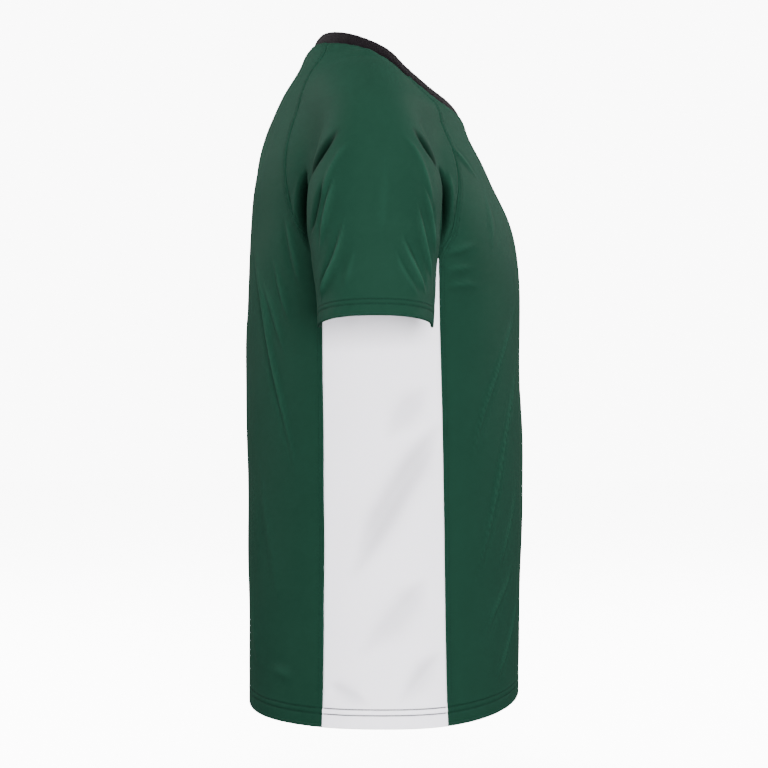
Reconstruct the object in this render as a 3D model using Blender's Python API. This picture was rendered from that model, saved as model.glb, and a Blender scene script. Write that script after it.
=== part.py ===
"""Short-sleeved raglan training top, worn shape, hollow.

Seven cut pieces: front, back, two raglan sleeves, two side panels and a neck band.
Every piece is a thin wall on one shared form: a torso of level sections joined
softly to two hanging sleeve tubes. Seams are curves on that form, and each piece
is a grid stretched between its seams and settled onto the form.

Metres. +Z up, the front faces -Y, the wearer's left is +X. The origin is on the
centre plane, at mid depth, level with the high points of the shoulders.
"""
import bpy
import numpy as np

# Cloth
WALL = 0.0012
HEM_WALL = 0.0024
BAND_WALL = 0.0024
SEAM_GAP = 0.0003

# Torso form, one row for each level section:
# height, front y, back y, half width, squareness of the outline
TORSO_SECTIONS = np.array([
    (0.024, 0.0490, 0.0610, 0.018, 2.00),
    (0.014, 0.0410, 0.0690, 0.035, 2.00),
    (0.007, 0.0290, 0.0760, 0.052, 2.00),
    (0.000, 0.0120, 0.0825, 0.078, 2.00),
    (-0.015, -0.0185, 0.0900, 0.111, 2.00),
    (-0.030, -0.0335, 0.0985, 0.135, 1.90),
    (-0.045, -0.0505, 0.1080, 0.150, 1.85),
    (-0.057, -0.0655, 0.1140, 0.158, 1.85),
    (-0.067, -0.0795, 0.1185, 0.163, 1.85),
    (-0.086, -0.0895, 0.1255, 0.168, 1.90),
    (-0.118, -0.1050, 0.1345, 0.172, 2.00),
    (-0.150, -0.1195, 0.1400, 0.171, 2.10),
    (-0.185, -0.1335, 0.1425, 0.169, 2.20),
    (-0.220, -0.1415, 0.1445, 0.168, 2.30),
    (-0.264, -0.1455, 0.1460, 0.168, 2.30),
    (-0.305, -0.1460, 0.1465, 0.170, 2.30),
    (-0.400, -0.1470, 0.1465, 0.177, 2.30),
    (-0.500, -0.1470, 0.1460, 0.184, 2.30),
    (-0.600, -0.1455, 0.1450, 0.190, 2.30),
    (-0.694, -0.1435, 0.1440, 0.196, 2.30),
    (-0.760, -0.1425, 0.1430, 0.199, 2.30)])

# Sleeve form. Its sections lie in planes tilted up and out by SLEEVE_TILT.
SLEEVE_TILT = np.radians(10.0)
# distance down, centre out, reach in, reach out, centre y, half depth, squareness in, squareness out
SLEEVE_SECTIONS = np.array([
    (0.048, 0.118, 0.004, 0.004, 0.016, 0.004, 2.0, 2.0),
    (0.062, 0.126, 0.022, 0.024, 0.016, 0.022, 2.0, 2.0),
    (0.080, 0.136, 0.034, 0.040, 0.015, 0.033, 2.2, 2.0),
    (0.105, 0.147, 0.042, 0.052, 0.013, 0.042, 2.5, 2.0),
    (0.135, 0.157, 0.052, 0.056, 0.011, 0.050, 3.0, 2.1),
    (0.170, 0.164, 0.062, 0.058, 0.009, 0.061, 3.6, 2.2),
    (0.205, 0.169, 0.069, 0.057, 0.009, 0.066, 4.0, 2.3),
    (0.228, 0.172, 0.068, 0.056, 0.010, 0.065, 5.0, 2.3),
    (0.242, 0.173, 0.060, 0.056, 0.010, 0.064, 5.0, 2.3),
    (0.252, 0.174, 0.051, 0.057, 0.009, 0.063, 4.6, 2.3),
    (0.262, 0.175, 0.046, 0.057, 0.009, 0.062, 4.2, 2.3),
    (0.280, 0.177, 0.048, 0.057, 0.009, 0.060, 3.6, 2.2),
    (0.300, 0.180, 0.052, 0.057, 0.008, 0.058, 3.2, 2.2),
    (0.338, 0.185, 0.057, 0.057, 0.008, 0.055, 2.6, 2.2),
    (0.380, 0.190, 0.060, 0.060, 0.008, 0.054, 2.4, 2.2)])
CUFF_DOWN = 0.338
CUFF_RISE = 0.030
CUFF_ROUND = 0.20
CUFF_HEM = 0.017

# How softly sleeve and torso run into each other: height, blend length
SOFTNESS = np.array([
    (-0.215, 0.010),
    (-0.170, 0.013),
    (-0.120, 0.028),
    (-0.070, 0.060)])

# Neck opening, an egg in plan
NECK_WIDEST_Y = 0.015
NECK_BACK_REACH = 0.061
NECK_FRONT_REACH = 0.097
NECK_HALF_WIDTH = 0.080
NECK_SQUARENESS = 2.2
NECK_START_HEIGHT = -0.020
BAND_WIDTH = 0.0145
BAND_LEAN = np.radians(33.0)
BAND_CROWN = 0.0008

# Raglan seams from neck to underarm: side x, height. The form gives y.
FRONT_RAGLAN = np.array([
    (0.096, -0.048),
    (0.109, -0.065),
    (0.115, -0.087),
    (0.118, -0.110),
    (0.125, -0.134),
    (0.135, -0.158),
    (0.145, -0.182),
    (0.152, -0.205),
    (0.157, -0.219)])
BACK_RAGLAN = np.array([
    (0.096, -0.014),
    (0.110, -0.040),
    (0.116, -0.070),
    (0.118, -0.095),
    (0.123, -0.127),
    (0.131, -0.161),
    (0.140, -0.190),
    (0.149, -0.208)])
RAGLAN_FRONT_ANGLE = np.radians(112.0)
RAGLAN_BACK_ANGLE = np.radians(44.0)

# Side seams: height, front seam y, back seam y
SIDE_SEAMS = np.array([
    (-0.229, -0.0550, 0.0620),
    (-0.300, -0.0560, 0.0620),
    (-0.400, -0.0585, 0.0605),
    (-0.500, -0.0600, 0.0595),
    (-0.600, -0.0610, 0.0600),
    (-0.694, -0.0630, 0.0610)])
UNDERARM_DIP = 0.007

# Hem
HEM_HEIGHT = -0.694
HEM_FRONT_RISE = 0.011
HEM_DEPTH = 0.021
HEM_STEP = 0.0015
HEM_ROWS = 2

# Grid stations along each seam
FRONT_SPAN = 16
BACK_SPAN = 16
NECK_SPAN = 5
RAGLAN_SPAN = 9
UNDERARM_SPAN = 6
SIDE_SPAN = 14
SLEEVE_ROWS = 11
SLEEVE_STRIP = 0.007
SLEEVE_LIFT = 0.120

# Rough body size, where settling starts
BODY_HALF_DEPTH = 0.146
BODY_HALF_WIDTH = 0.190
MIRROR = np.array([-1, 1, 1])

# Settling onto the form
PROBE = 0.0003
SETTLE_CAP = 0.012
STRAIGHT_ENOUGH = 0.97
RELAX_ROUNDS = 60

GREEN = (0.021, 0.086, 0.052, 1.0)
WHITE = (0.78, 0.77, 0.80, 1.0)
BLACK = (0.022, 0.018, 0.020, 1.0)
ROUGHNESS = 0.65


# ---------------------------------------------------------------- the form

def natural_spline(xs, ys, at):
    """Natural cubic spline through the rows (xs, ys), read at the places `at`."""
    count = len(xs)
    step = np.diff(xs)
    system = np.eye(count)
    right = np.zeros(count)
    for i in range(1, count - 1):
        system[i, i - 1:i + 2] = step[i - 1], 2 * (step[i - 1] + step[i]), step[i]
        right[i] = 6 * ((ys[i + 1] - ys[i]) / step[i] - (ys[i] - ys[i - 1]) / step[i - 1])
    bend = np.linalg.solve(system, right)
    k = np.clip(np.searchsorted(xs, at, side="right") - 1, 0, count - 2)
    a = (xs[k + 1] - at) / step[k]
    b = 1 - a
    return a * ys[k] + b * ys[k + 1] + ((a**3 - a) * bend[k] + (b**3 - b) * bend[k + 1]) * step[k]**2 / 6


def sampled(table):
    """A table's columns, splined at every millimetre of its first column."""
    rows = table[np.argsort(table[:, 0])]
    at = np.arange(rows[0, 0], rows[-1, 0], 0.001)
    return at, [natural_spline(rows[:, 0], rows[:, c], at) for c in range(1, rows.shape[1])]


TORSO_HEIGHTS, TORSO_COLUMNS = sampled(TORSO_SECTIONS)
SLEEVE_DOWNS, SLEEVE_COLUMNS = sampled(SLEEVE_SECTIONS)


def outline_gap(u, v, half_u, half_v, squareness):
    """Distance from (u, v) to a rounded oblong, along the ray from its centre."""
    reach = ((np.abs(u) / half_u)**squareness + (np.abs(v) / half_v)**squareness)**(1 / squareness)
    return np.hypot(u, v) * (1 - 1 / np.maximum(reach, 1e-6))


def torso_gap(points):
    """How far each point lies outside the torso form."""
    x, y, z = np.moveaxis(points, -1, 0)
    front, back, half_width, squareness = (np.interp(z, TORSO_HEIGHTS, c) for c in TORSO_COLUMNS)
    return outline_gap(x, y - (front + back) / 2, half_width, (back - front) / 2, squareness)


def sleeve_place(points):
    """Distances out along, and down from, the sleeve's tilted section planes."""
    x, z = np.abs(points[..., 0]), points[..., 2]
    out = x * np.cos(SLEEVE_TILT) + z * np.sin(SLEEVE_TILT)
    down = x * np.sin(SLEEVE_TILT) - z * np.cos(SLEEVE_TILT)
    return out, down


def sleeve_gap(points):
    """How far each point lies outside the sleeve form of its own side."""
    out, down = sleeve_place(points)
    centre, inward, outward, middle, half_depth, square_in, square_out = (
        np.interp(down, SLEEVE_DOWNS, c) for c in SLEEVE_COLUMNS)
    u = out - centre
    inside = u < 0
    half_u = np.where(inside, inward, outward)
    level = outline_gap(u, points[..., 1] - middle, half_u, half_depth, np.where(inside, square_in, square_out))
    return level + np.maximum(SLEEVE_SECTIONS[0, 0] - down, 0)


def form_gap(points):
    """How far each point lies outside torso and sleeves, run softly together."""
    torso, sleeve = torso_gap(points), sleeve_gap(points)
    soft = np.interp(points[..., 2], SOFTNESS[:, 0], SOFTNESS[:, 1])
    share = np.maximum(soft - np.abs(torso - sleeve), 0) / soft
    return np.minimum(torso, sleeve) - share**2 * soft / 4


def slope(points, gap):
    """Gradient of a gap function, by small probes along each axis."""
    result = np.empty_like(points)
    for axis in range(3):
        probe = np.zeros(3)
        probe[axis] = PROBE
        result[..., axis] = (gap(points + probe) - gap(points - probe)) / (2 * PROBE)
    return result


def settle(points, gap=form_gap, free=(1, 1, 1), rounds=8):
    """Moves points onto a gap function's zero surface, along the free axes only."""
    for _ in range(rounds):
        direction = slope(points, gap) * np.array(free, float)
        steepness = np.maximum((direction**2).sum(-1), 0.02)
        move = direction * (gap(points) / steepness)[..., None]
        length = np.linalg.norm(move, axis=-1, keepdims=True)
        points = points - move * np.minimum(1, SETTLE_CAP / np.maximum(length, 1e-9))
    return points


def outward(points):
    """Unit normals of the form at the points."""
    direction = slope(points, form_gap)
    return direction / np.linalg.norm(direction, axis=-1, keepdims=True)


def unit(vectors):
    """Vectors scaled to length one."""
    return vectors / np.maximum(np.linalg.norm(vectors, axis=-1, keepdims=True), 1e-12)


def edge_clearance(loop, normals, interior, amounts):
    """Moves for a closed edge loop, each segment going in by its own amount.

    A segment's way in lies in the surface, square to the segment. Each corner
    moves so that both of its segments come out right.
    """
    along_edge = unit(np.roll(loop, -1, axis=0) - loop)
    way_in = unit(np.cross(normals + np.roll(normals, -1, axis=0), along_edge))
    way_in *= np.sign((way_in * (interior - loop)).sum())
    before, here = np.roll(way_in, 1, axis=0), way_in
    first, second = np.roll(amounts, 1)[:, None], amounts[:, None]
    shared = (before * here).sum(-1, keepdims=True)
    open_part = np.maximum(1 - shared**2, 1 - STRAIGHT_ENOUGH**2)
    corner = ((first - shared * second) * before + (second - shared * first) * here) / open_part
    straight = (before + here) / 2 * (first + second) / 2
    return np.where(shared > STRAIGHT_ENOUGH, straight, corner)


# ---------------------------------------------------------------- the seams

def along(points, count):
    """The polyline through the points, read at count + 1 even distances."""
    lengths = np.linalg.norm(np.diff(points, axis=0), axis=1)
    distance = np.concatenate([[0], np.cumsum(lengths)])
    at = np.linspace(0, distance[-1], count + 1)
    return np.stack([np.interp(at, distance, points[:, c]) for c in range(3)], -1)


def neck_seam(start, end, count):
    """Neck seam between two plan angles, 0 at the back and pi at the front."""
    angle = np.linspace(start, end, 8 * count + 1)
    cosine, sine = np.cos(angle), np.sin(angle)
    reach = np.where(cosine > 0, NECK_BACK_REACH, NECK_FRONT_REACH)
    x = NECK_HALF_WIDTH * np.sign(sine) * np.abs(sine)**(2 / NECK_SQUARENESS)
    y = NECK_WIDEST_Y + reach * np.sign(cosine) * np.abs(cosine)**(2 / NECK_SQUARENESS)
    points = np.stack([x, y, np.full_like(x, NECK_START_HEIGHT)], -1)
    points = settle(points, torso_gap, free=(0, 0, 1), rounds=30)
    return settle(along(points, count), form_gap, free=(0, 0, 1))


def raglan_seam(table, neck_end, corner, facing):
    """Raglan seam through its table's rows, from the neck down to the underarm."""
    rows = np.stack([table[:, 0], np.full(len(table), BODY_HALF_DEPTH * facing), table[:, 1]], -1)
    rows = settle(rows, form_gap, free=(0, 1, 0), rounds=30)
    rows = np.vstack([neck_end, rows, corner])
    steps = np.linalg.norm(np.diff(rows, axis=0), axis=1)
    distance = np.concatenate([[0], np.cumsum(steps)])
    at = np.linspace(0, distance[-1], RAGLAN_SPAN * 8 + 1)
    curve = np.stack([natural_spline(distance, rows[:, c], at) for c in range(3)], -1)
    stations = along(settle(curve), RAGLAN_SPAN)
    stations[0], stations[-1] = neck_end, corner
    stations[1:-1] = settle(stations[1:-1])
    return stations


def side_seam(column, heights):
    """Side seam on the torso, its y read from one column of SIDE_SEAMS."""
    rows = SIDE_SEAMS[::-1]
    y = np.interp(heights, rows[:, 0], rows[:, column])
    points = np.stack([np.full_like(y, BODY_HALF_WIDTH), y, heights], -1)
    return settle(points, torso_gap, free=(1, 0, 0), rounds=20)


def underarm_seam(front_corner, back_corner):
    """Seam from the front corner to the back one, dipping under the sleeve."""
    t = np.linspace(0, 1, UNDERARM_SPAN + 1)[:, None]
    points = front_corner * (1 - t) + back_corner * t
    points[:, 2] -= UNDERARM_DIP * np.sin(np.pi * t[:, 0])
    points[1:-1] = settle(points[1:-1])
    return points


def hem_height(y):
    """Height of the hem: level, rising a little towards the front."""
    forward = np.clip(-y / BODY_HALF_DEPTH, 0, 1)
    return HEM_HEIGHT + HEM_FRONT_RISE * forward**3


def torso_ring(row, height_above_hem):
    """A row of points carried down the torso to a height above the hem."""
    points = row.copy()
    for _ in range(6):
        points[:, 2] = hem_height(points[:, 1]) + height_above_hem
        points = settle(points, torso_gap, free=(1, 1, 0), rounds=3)
    return points


def cuff_lift(out, down):
    """How much higher the cuff is on its inner side, in step with the way in from the centre."""
    centre, inward = (np.interp(down, SLEEVE_DOWNS, SLEEVE_COLUMNS[c]) for c in range(2))
    share = np.maximum((centre - out) / inward, 0)
    return CUFF_RISE * (np.hypot(share, CUFF_ROUND) - CUFF_ROUND) / (np.hypot(1, CUFF_ROUND) - CUFF_ROUND)


def sleeve_ring(down, count, turn):
    """Closed ring of the sleeve at a distance down; `turn` segments before its outer point."""
    centre, inward, outward_reach, middle, half_depth, square_in, square_out = (
        np.interp(down, SLEEVE_DOWNS, c) for c in SLEEVE_COLUMNS)
    angle = np.radians(np.arange(0, 360, 0.5))
    cosine, sine = np.cos(angle), np.sin(angle)
    squareness = np.where(cosine < 0, square_in, square_out)
    u = np.where(cosine < 0, inward, outward_reach) * np.sign(cosine) * np.abs(cosine)**(2 / squareness)
    y = middle - half_depth * np.sign(sine) * np.abs(sine)**(2 / squareness)
    loop = np.stack([centre + u, y], -1)
    loop = np.vstack([loop, loop[:1]])
    distance = np.concatenate([[0], np.cumsum(np.linalg.norm(np.diff(loop, axis=0), axis=1))])
    at = np.mod((np.arange(count) - turn) / count, 1.0) * distance[-1]
    out, y = (np.interp(at, distance, loop[:, c]) for c in range(2))
    lifted = down - cuff_lift(out, down)
    x = out * np.cos(SLEEVE_TILT) + lifted * np.sin(SLEEVE_TILT)
    z = out * np.sin(SLEEVE_TILT) - lifted * np.cos(SLEEVE_TILT)
    return settle(np.stack([x, y, z], -1), sleeve_gap, free=(1, 1, 0), rounds=4)


# ---------------------------------------------------------------- the grids

def stretched(top, bottom, left, right):
    """Grid between four edges: ruled both ways, less the corners' own share."""
    u = np.linspace(0, 1, len(top))[None, :, None]
    v = np.linspace(0, 1, len(left))[:, None, None]
    across = left[:, None] * (1 - u) + right[:, None] * u
    down = top[None] * (1 - v) + bottom[None] * v
    upper = top[0] * (1 - u) + top[-1] * u
    lower = bottom[0] * (1 - u) + bottom[-1] * u
    return across + down - (upper * (1 - v) + lower * v)


def relaxed(grid, closed=False):
    """Evens out a grid on the form, its edges held."""
    grid = grid.copy()
    for _ in range(RELAX_ROUNDS):
        if closed:
            sides = np.roll(grid, 1, axis=1) + np.roll(grid, -1, axis=1)
            grid[1:-1] = settle((sides[1:-1] + grid[:-2] + grid[2:]) / 4, rounds=2)
        else:
            mean = (grid[1:-1, :-2] + grid[1:-1, 2:] + grid[:-2, 1:-1] + grid[2:, 1:-1]) / 4
            grid[1:-1, 1:-1] = settle(mean, rounds=2)
    return grid


def torso_panel(top, edge, facing):
    """Front (facing -1) or back (1) panel from its neck seam and its left edge."""
    right = edge * MIRROR
    start, end = edge[-1], right[-1]
    t = np.linspace(0, 1, len(top))[:, None]
    bottom = start * (1 - t) + end * t
    bottom[:, 1] += BODY_HALF_DEPTH * facing * np.sin(np.pi * t[:, 0])
    bottom = torso_ring(bottom, HEM_DEPTH)
    bottom = torso_ring(along(np.vstack([start, bottom[1:-1], end]), len(top) - 1), HEM_DEPTH)
    bottom[0], bottom[-1] = start, end
    return relaxed(settle(stretched(top, bottom, edge, right), rounds=20))


def with_hem(grid):
    """A torso grid with its turned-up hem's rows below it."""
    step = torso_ring(grid[-1], HEM_DEPTH - HEM_STEP)
    fold = torso_ring(grid[-1], 0.0)
    return np.concatenate([grid, step[None], fold[None]])


def sleeve_grid(loop):
    """Sleeve from its armhole loop, neck edge first, down to its cuff.

    A narrow strip follows the armhole, so no quad near a seam corner is a sliver.
    """
    count = len(loop)
    cuff_line = sleeve_ring(CUFF_DOWN - CUFF_HEM, count, NECK_SPAN / 2)
    strip = np.full(count, SLEEVE_STRIP)
    start = settle(loop + edge_clearance(loop, outward(loop), cuff_line, strip))
    turn = 2 * np.pi * (np.arange(count) - NECK_SPAN / 2) / count
    lift = SLEEVE_LIFT * np.maximum(np.cos(turn), 0)[:, None]
    middle = (start + cuff_line) / 2 + lift * np.array([1.0, 0.0, 1.0])
    v = np.linspace(0, 1, SLEEVE_ROWS + 1)[:, None, None]
    grid = (1 - v)**2 * start + 2 * v * (1 - v) * middle + v**2 * cuff_line
    grid[1:-1] = settle(grid[1:-1], rounds=25)
    grid = relaxed(grid, closed=True)
    step = sleeve_ring(CUFF_DOWN - CUFF_HEM + HEM_STEP, count, NECK_SPAN / 2)
    fold = sleeve_ring(CUFF_DOWN, count, NECK_SPAN / 2)
    return np.concatenate([loop[None], grid, step[None], fold[None]])


# ---------------------------------------------------------------- the solids

def seam_clearance(grid, normals, closed):
    """Offsets that pull a grid's sewn edges back by half the seam gap."""
    offset = np.zeros_like(grid)
    if closed:
        amounts = np.full(grid.shape[1], SEAM_GAP / 2)
        offset[0] = edge_clearance(grid[0], normals[0], grid[1], amounts)
        return offset
    rows, columns = grid.shape[:2]
    i = np.concatenate([np.zeros(columns, int), np.arange(1, rows), np.full(columns - 1, rows - 1),
                        np.arange(rows - 2, 0, -1)])
    j = np.concatenate([np.arange(columns), np.full(rows - 1, columns - 1), np.arange(columns - 2, -1, -1),
                        np.zeros(rows - 2, int)])
    amounts = np.full(len(i), SEAM_GAP / 2)
    amounts[(i == rows - 1) & (j > 0)] = 0.0
    interior = grid[np.clip(i, 1, rows - 2), np.clip(j, 1, columns - 2)]
    offset[i, j] = edge_clearance(grid[i, j], normals[i, j], interior, amounts)
    return offset


def split(quads, guide):
    """Two triangles for each quad (a, b, c, d), cut so that neither comes out a sliver.

    A cut's cost is its length squared over the area of its smaller triangle.
    """
    a, b, c, d = quads
    cost = []
    for start, end, left, right in ((a, c, b, d), (b, d, a, c)):
        cut = guide[end] - guide[start]
        areas = [np.linalg.norm(np.cross(cut, guide[apex] - guide[start]), axis=1) for apex in (left, right)]
        cost.append((cut**2).sum(1) / np.maximum(np.minimum(*areas), 1e-12))
    better = (cost[0] < cost[1])[:, None]
    first = np.where(better, np.stack([a, b, c], 1), np.stack([a, b, d], 1))
    second = np.where(better, np.stack([a, c, d], 1), np.stack([b, c, d], 1))
    return np.concatenate([first, second])


def wall_faces(outer, inner, guide, closed):
    """Triangles of a closed wall: outer skin, inner skin and the rims between them.

    The guide holds the points before they are drawn back from the seams, so two
    pieces that meet at a seam split their facing rims the same way.
    """
    if closed:
        outer = np.hstack([outer, outer[:, :1]])
        inner = np.hstack([inner, inner[:, :1]])
    corners = (np.s_[:-1, :-1], np.s_[1:, :-1], np.s_[1:, 1:], np.s_[:-1, 1:])
    skin = split([outer[c].ravel() for c in corners], guide)
    edges = [(outer[0], inner[0]), (outer[-1, ::-1], inner[-1, ::-1])]
    if not closed:
        edges += [(outer[::-1, 0], inner[::-1, 0]), (outer[:, -1], inner[:, -1])]
    rims = [split([near[:-1], near[1:], far[1:], far[:-1]], guide) for near, far in edges]
    return np.concatenate([skin, skin[:, ::-1] + inner[0, 0] - outer[0, 0], *rims])


def material(name, colour):
    """A plain Principled material."""
    result = bpy.data.materials.new(name)
    result.use_nodes = True
    shader = result.node_tree.nodes["Principled BSDF"]
    shader.inputs["Base Color"].default_value = colour
    shader.inputs["Roughness"].default_value = ROUGHNESS
    shader.inputs["Metallic"].default_value = 0.0
    return result


def add_wall(name, outer, inner, clearance, finish, closed=False):
    """One cloth piece as a closed body between its outer and inner skins."""
    guide = np.concatenate([outer.reshape(-1, 3), inner.reshape(-1, 3)])
    points = guide + np.tile(clearance.reshape(-1, 3), (2, 1))
    numbers = np.arange(outer[..., 0].size).reshape(outer.shape[:2])
    faces = wall_faces(numbers, numbers + numbers.size, guide, closed)
    a, b, c = np.moveaxis(points[faces], 1, 0)
    if (np.cross(a, b) * c).sum() < 0:
        faces = faces[:, ::-1]
    mesh = bpy.data.meshes.new(name)
    mesh.from_pydata(points.tolist(), [], faces.tolist())
    mesh.shade_smooth()
    mesh.set_sharp_from_angle(angle=np.radians(50.0))
    mesh.materials.append(finish)
    piece = bpy.data.objects.new(name, mesh)
    bpy.context.scene.collection.objects.link(piece)
    return piece


def add_panel(name, grid, finish, closed=False):
    """A panel's wall: inward from its grid, doubled along its turned-up hem."""
    thickness = np.full(grid.shape[:2], WALL)
    thickness[-HEM_ROWS:] = HEM_WALL
    normals = outward(grid)
    inner = grid - normals * thickness[..., None]
    return add_wall(name, grid, inner, seam_clearance(grid, normals, closed), finish, closed)


def add_band(name, seam, finish):
    """Neck band: rises from the neck seam and leans in over the opening."""
    tangent = unit(np.roll(seam, -1, axis=0) - np.roll(seam, 1, axis=0))
    level = unit(tangent * np.array([1, 1, 0]))
    up = np.array([0.0, 0.0, 1.0])
    away = np.cross(level, up)
    away *= np.sign((away * (seam - seam.mean(axis=0))).sum(-1, keepdims=True))
    rise = np.cos(BAND_LEAN) * up - np.sin(BAND_LEAN) * away
    face = unit(np.cos(BAND_LEAN) * away + np.sin(BAND_LEAN) * up)
    outer, inner = [], []
    for share in (0.0, 0.5, 1.0):
        middle = seam + rise * BAND_WIDTH * share + face * BAND_CROWN * np.sin(np.pi * share)
        outer.append(middle)
        inner.append(middle - face * BAND_WALL)
    inner[0] = seam - outward(seam) * BAND_WALL
    outer, inner = np.array(outer), np.array(inner)
    clearance = np.zeros_like(outer)
    clearance[0] = edge_clearance(seam, face, outer[1], np.full(len(seam), SEAM_GAP / 2))
    return add_wall(name, outer, inner, clearance, finish, closed=True)


def clear_scene():
    """Removes whatever the scene holds."""
    for piece in list(bpy.data.objects):
        bpy.data.objects.remove(piece, do_unlink=True)


def main():
    """Builds the seven pieces."""
    clear_scene()
    green = material("green_jersey", GREEN)
    white = material("white_jersey", WHITE)
    black = material("black_rib", BLACK)

    neck_front = neck_seam(RAGLAN_FRONT_ANGLE, 2 * np.pi - RAGLAN_FRONT_ANGLE, FRONT_SPAN)
    neck_side = neck_seam(RAGLAN_BACK_ANGLE, RAGLAN_FRONT_ANGLE, NECK_SPAN)
    neck_back = neck_seam(RAGLAN_BACK_ANGLE, -RAGLAN_BACK_ANGLE, BACK_SPAN)

    underarm_height = SIDE_SEAMS[0, 0]
    front_end = hem_height(SIDE_SEAMS[-1, 1]) + HEM_DEPTH
    back_end = HEM_HEIGHT + HEM_DEPTH
    front_side = side_seam(1, np.linspace(underarm_height, front_end, SIDE_SPAN + 1))
    back_side = side_seam(2, np.linspace(underarm_height, back_end, SIDE_SPAN + 1))
    front_raglan = raglan_seam(FRONT_RAGLAN, neck_front[0], front_side[0], -1)
    back_raglan = raglan_seam(BACK_RAGLAN, neck_back[0], back_side[0], 1)
    underarm = underarm_seam(front_side[0], back_side[0])

    front = torso_panel(neck_front, np.vstack([front_raglan, front_side[1:]]), -1)
    back = torso_panel(neck_back, np.vstack([back_raglan, back_side[1:]]), 1)
    add_panel("front_panel", with_hem(front), green)
    add_panel("back_panel", with_hem(back), green)

    t = np.linspace(0, 1, UNDERARM_SPAN + 1)[:, None]
    side_bottom = torso_ring(front_side[-1] * (1 - t) + back_side[-1] * t, HEM_DEPTH)
    side_bottom[0], side_bottom[-1] = front_side[-1], back_side[-1]
    side = with_hem(relaxed(settle(stretched(underarm, side_bottom, front_side, back_side))))
    loop = np.vstack([neck_side[:-1], front_raglan[:-1], underarm[:-1], back_raglan[:0:-1]])
    sleeve = sleeve_grid(loop)
    for hand, flip in (("left", 1), ("right", MIRROR)):
        add_panel(hand + "_side_panel", side * flip, white)
        add_panel(hand + "_sleeve", sleeve * flip, green, closed=True)

    ring = np.vstack([neck_side[:-1], neck_front[:-1],
                      (neck_side * MIRROR)[:0:-1], (neck_back * MIRROR)[:-1]])
    add_band("neck_band", ring, black)


main()
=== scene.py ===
"""Looks of a short-sleeved raglan training top in worn shape.

Each cloth piece is a thin shell on the form that its solid has, with listed folds,
sewn edges, turned-up hems and stitches of real thread, in finishes worked out from nodes.

Metres. +Z up, the front faces -Y, the wearer's left is +X.
"""
import logging
from dataclasses import dataclass, field, replace
from enum import Enum
from typing import Callable, Sequence

import bpy
import numpy as np
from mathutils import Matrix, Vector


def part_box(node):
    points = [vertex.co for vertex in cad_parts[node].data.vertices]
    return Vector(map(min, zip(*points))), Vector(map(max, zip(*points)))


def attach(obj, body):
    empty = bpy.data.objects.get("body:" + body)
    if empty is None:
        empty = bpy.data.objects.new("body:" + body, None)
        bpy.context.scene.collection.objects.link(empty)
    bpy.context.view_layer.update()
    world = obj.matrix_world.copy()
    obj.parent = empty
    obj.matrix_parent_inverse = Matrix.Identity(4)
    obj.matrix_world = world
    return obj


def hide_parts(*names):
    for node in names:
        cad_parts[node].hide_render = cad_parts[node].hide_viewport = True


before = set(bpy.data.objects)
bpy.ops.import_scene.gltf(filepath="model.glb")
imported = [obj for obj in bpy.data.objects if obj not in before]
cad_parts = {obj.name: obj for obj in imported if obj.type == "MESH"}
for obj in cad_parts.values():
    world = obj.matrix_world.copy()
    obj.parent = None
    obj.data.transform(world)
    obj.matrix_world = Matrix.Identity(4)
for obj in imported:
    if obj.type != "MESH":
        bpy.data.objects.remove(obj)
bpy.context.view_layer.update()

log = logging.getLogger("training_top")
Array = np.ndarray
Material = bpy.types.Material
Object = bpy.types.Object
Socket = bpy.types.NodeSocket

MM = 0.001
MIRROR = np.array([-1.0, 1.0, 1.0])
UP = np.array([0.0, 0.0, 1.0])
BODY = "root"
TURN = 2 * np.pi


class Hand(Enum):
    """The wearer's side that a piece or fold is on, as the sign of its x."""

    LEFT = 1
    RIGHT = -1

    @property
    def flip(self) -> Array:
        """What carries a point of the left half to this side."""
        return np.array([self.value, 1, 1])


class Facing(Enum):
    """Which way a torso panel faces, as the sign of its y."""

    FRONT = -1
    BACK = 1


class Chart(Enum):
    """How a fold's path is stated.

    AROUND: degrees round the torso from its side (front is negative), and height in mm.
    ACROSS: y and height in mm, as seen square to the side, on sleeve or torso.
    FRONT and BACK: x and height in mm, as seen square to the front or the back.
    """

    AROUND = "around"
    ACROSS = "across"
    FRONT = "front"
    BACK = "back"


# ---------- curves and surfaces

def natural_spline(xs: Array, ys: Array, at: Array) -> Array:
    """Natural cubic spline, with its bending set to nothing at both ends.

    Args:
        xs: increasing places of the rows.
        ys: values at those places, one row each, in any number of columns.
        at: places to read.

    Returns:
        One row of values for each place read.
    """
    count = len(xs)
    step = np.diff(xs)
    ys = ys.reshape(count, -1)
    system = np.eye(count)
    right = np.zeros_like(ys)
    inner = np.arange(1, count - 1)
    system[inner, inner - 1] = step[:-1]
    system[inner, inner] = 2 * (step[:-1] + step[1:])
    system[inner, inner + 1] = step[1:]
    climb = np.diff(ys, axis=0) / step[:, None]
    right[1:-1] = 6 * np.diff(climb, axis=0)
    bend = np.linalg.solve(system, right)
    k = np.clip(np.searchsorted(xs, at, side="right") - 1, 0, count - 2)
    width = step[k][:, None]
    a = (xs[k + 1] - at)[:, None] / width
    b = 1 - a
    return a * ys[k] + b * ys[k + 1] + ((a**3 - a) * bend[k] + (b**3 - b) * bend[k + 1]) * width**2 / 6


def unit(vectors: Array) -> Array:
    """Vectors scaled to length one."""
    return vectors / np.maximum(np.linalg.norm(vectors, axis=-1, keepdims=True), 1e-12)


def smooth_step(low: float, high: float, values: Array) -> Array:
    """0 below low, 1 above high, and 3t^2 - 2t^3 between."""
    t = np.clip((values - low) / (high - low), 0, 1)
    return t * t * (3 - 2 * t)


def bell(x: Array) -> Array:
    """exp(-x^2): 1 at nothing, and soon nothing on both sides."""
    return np.exp(-x**2)


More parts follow.
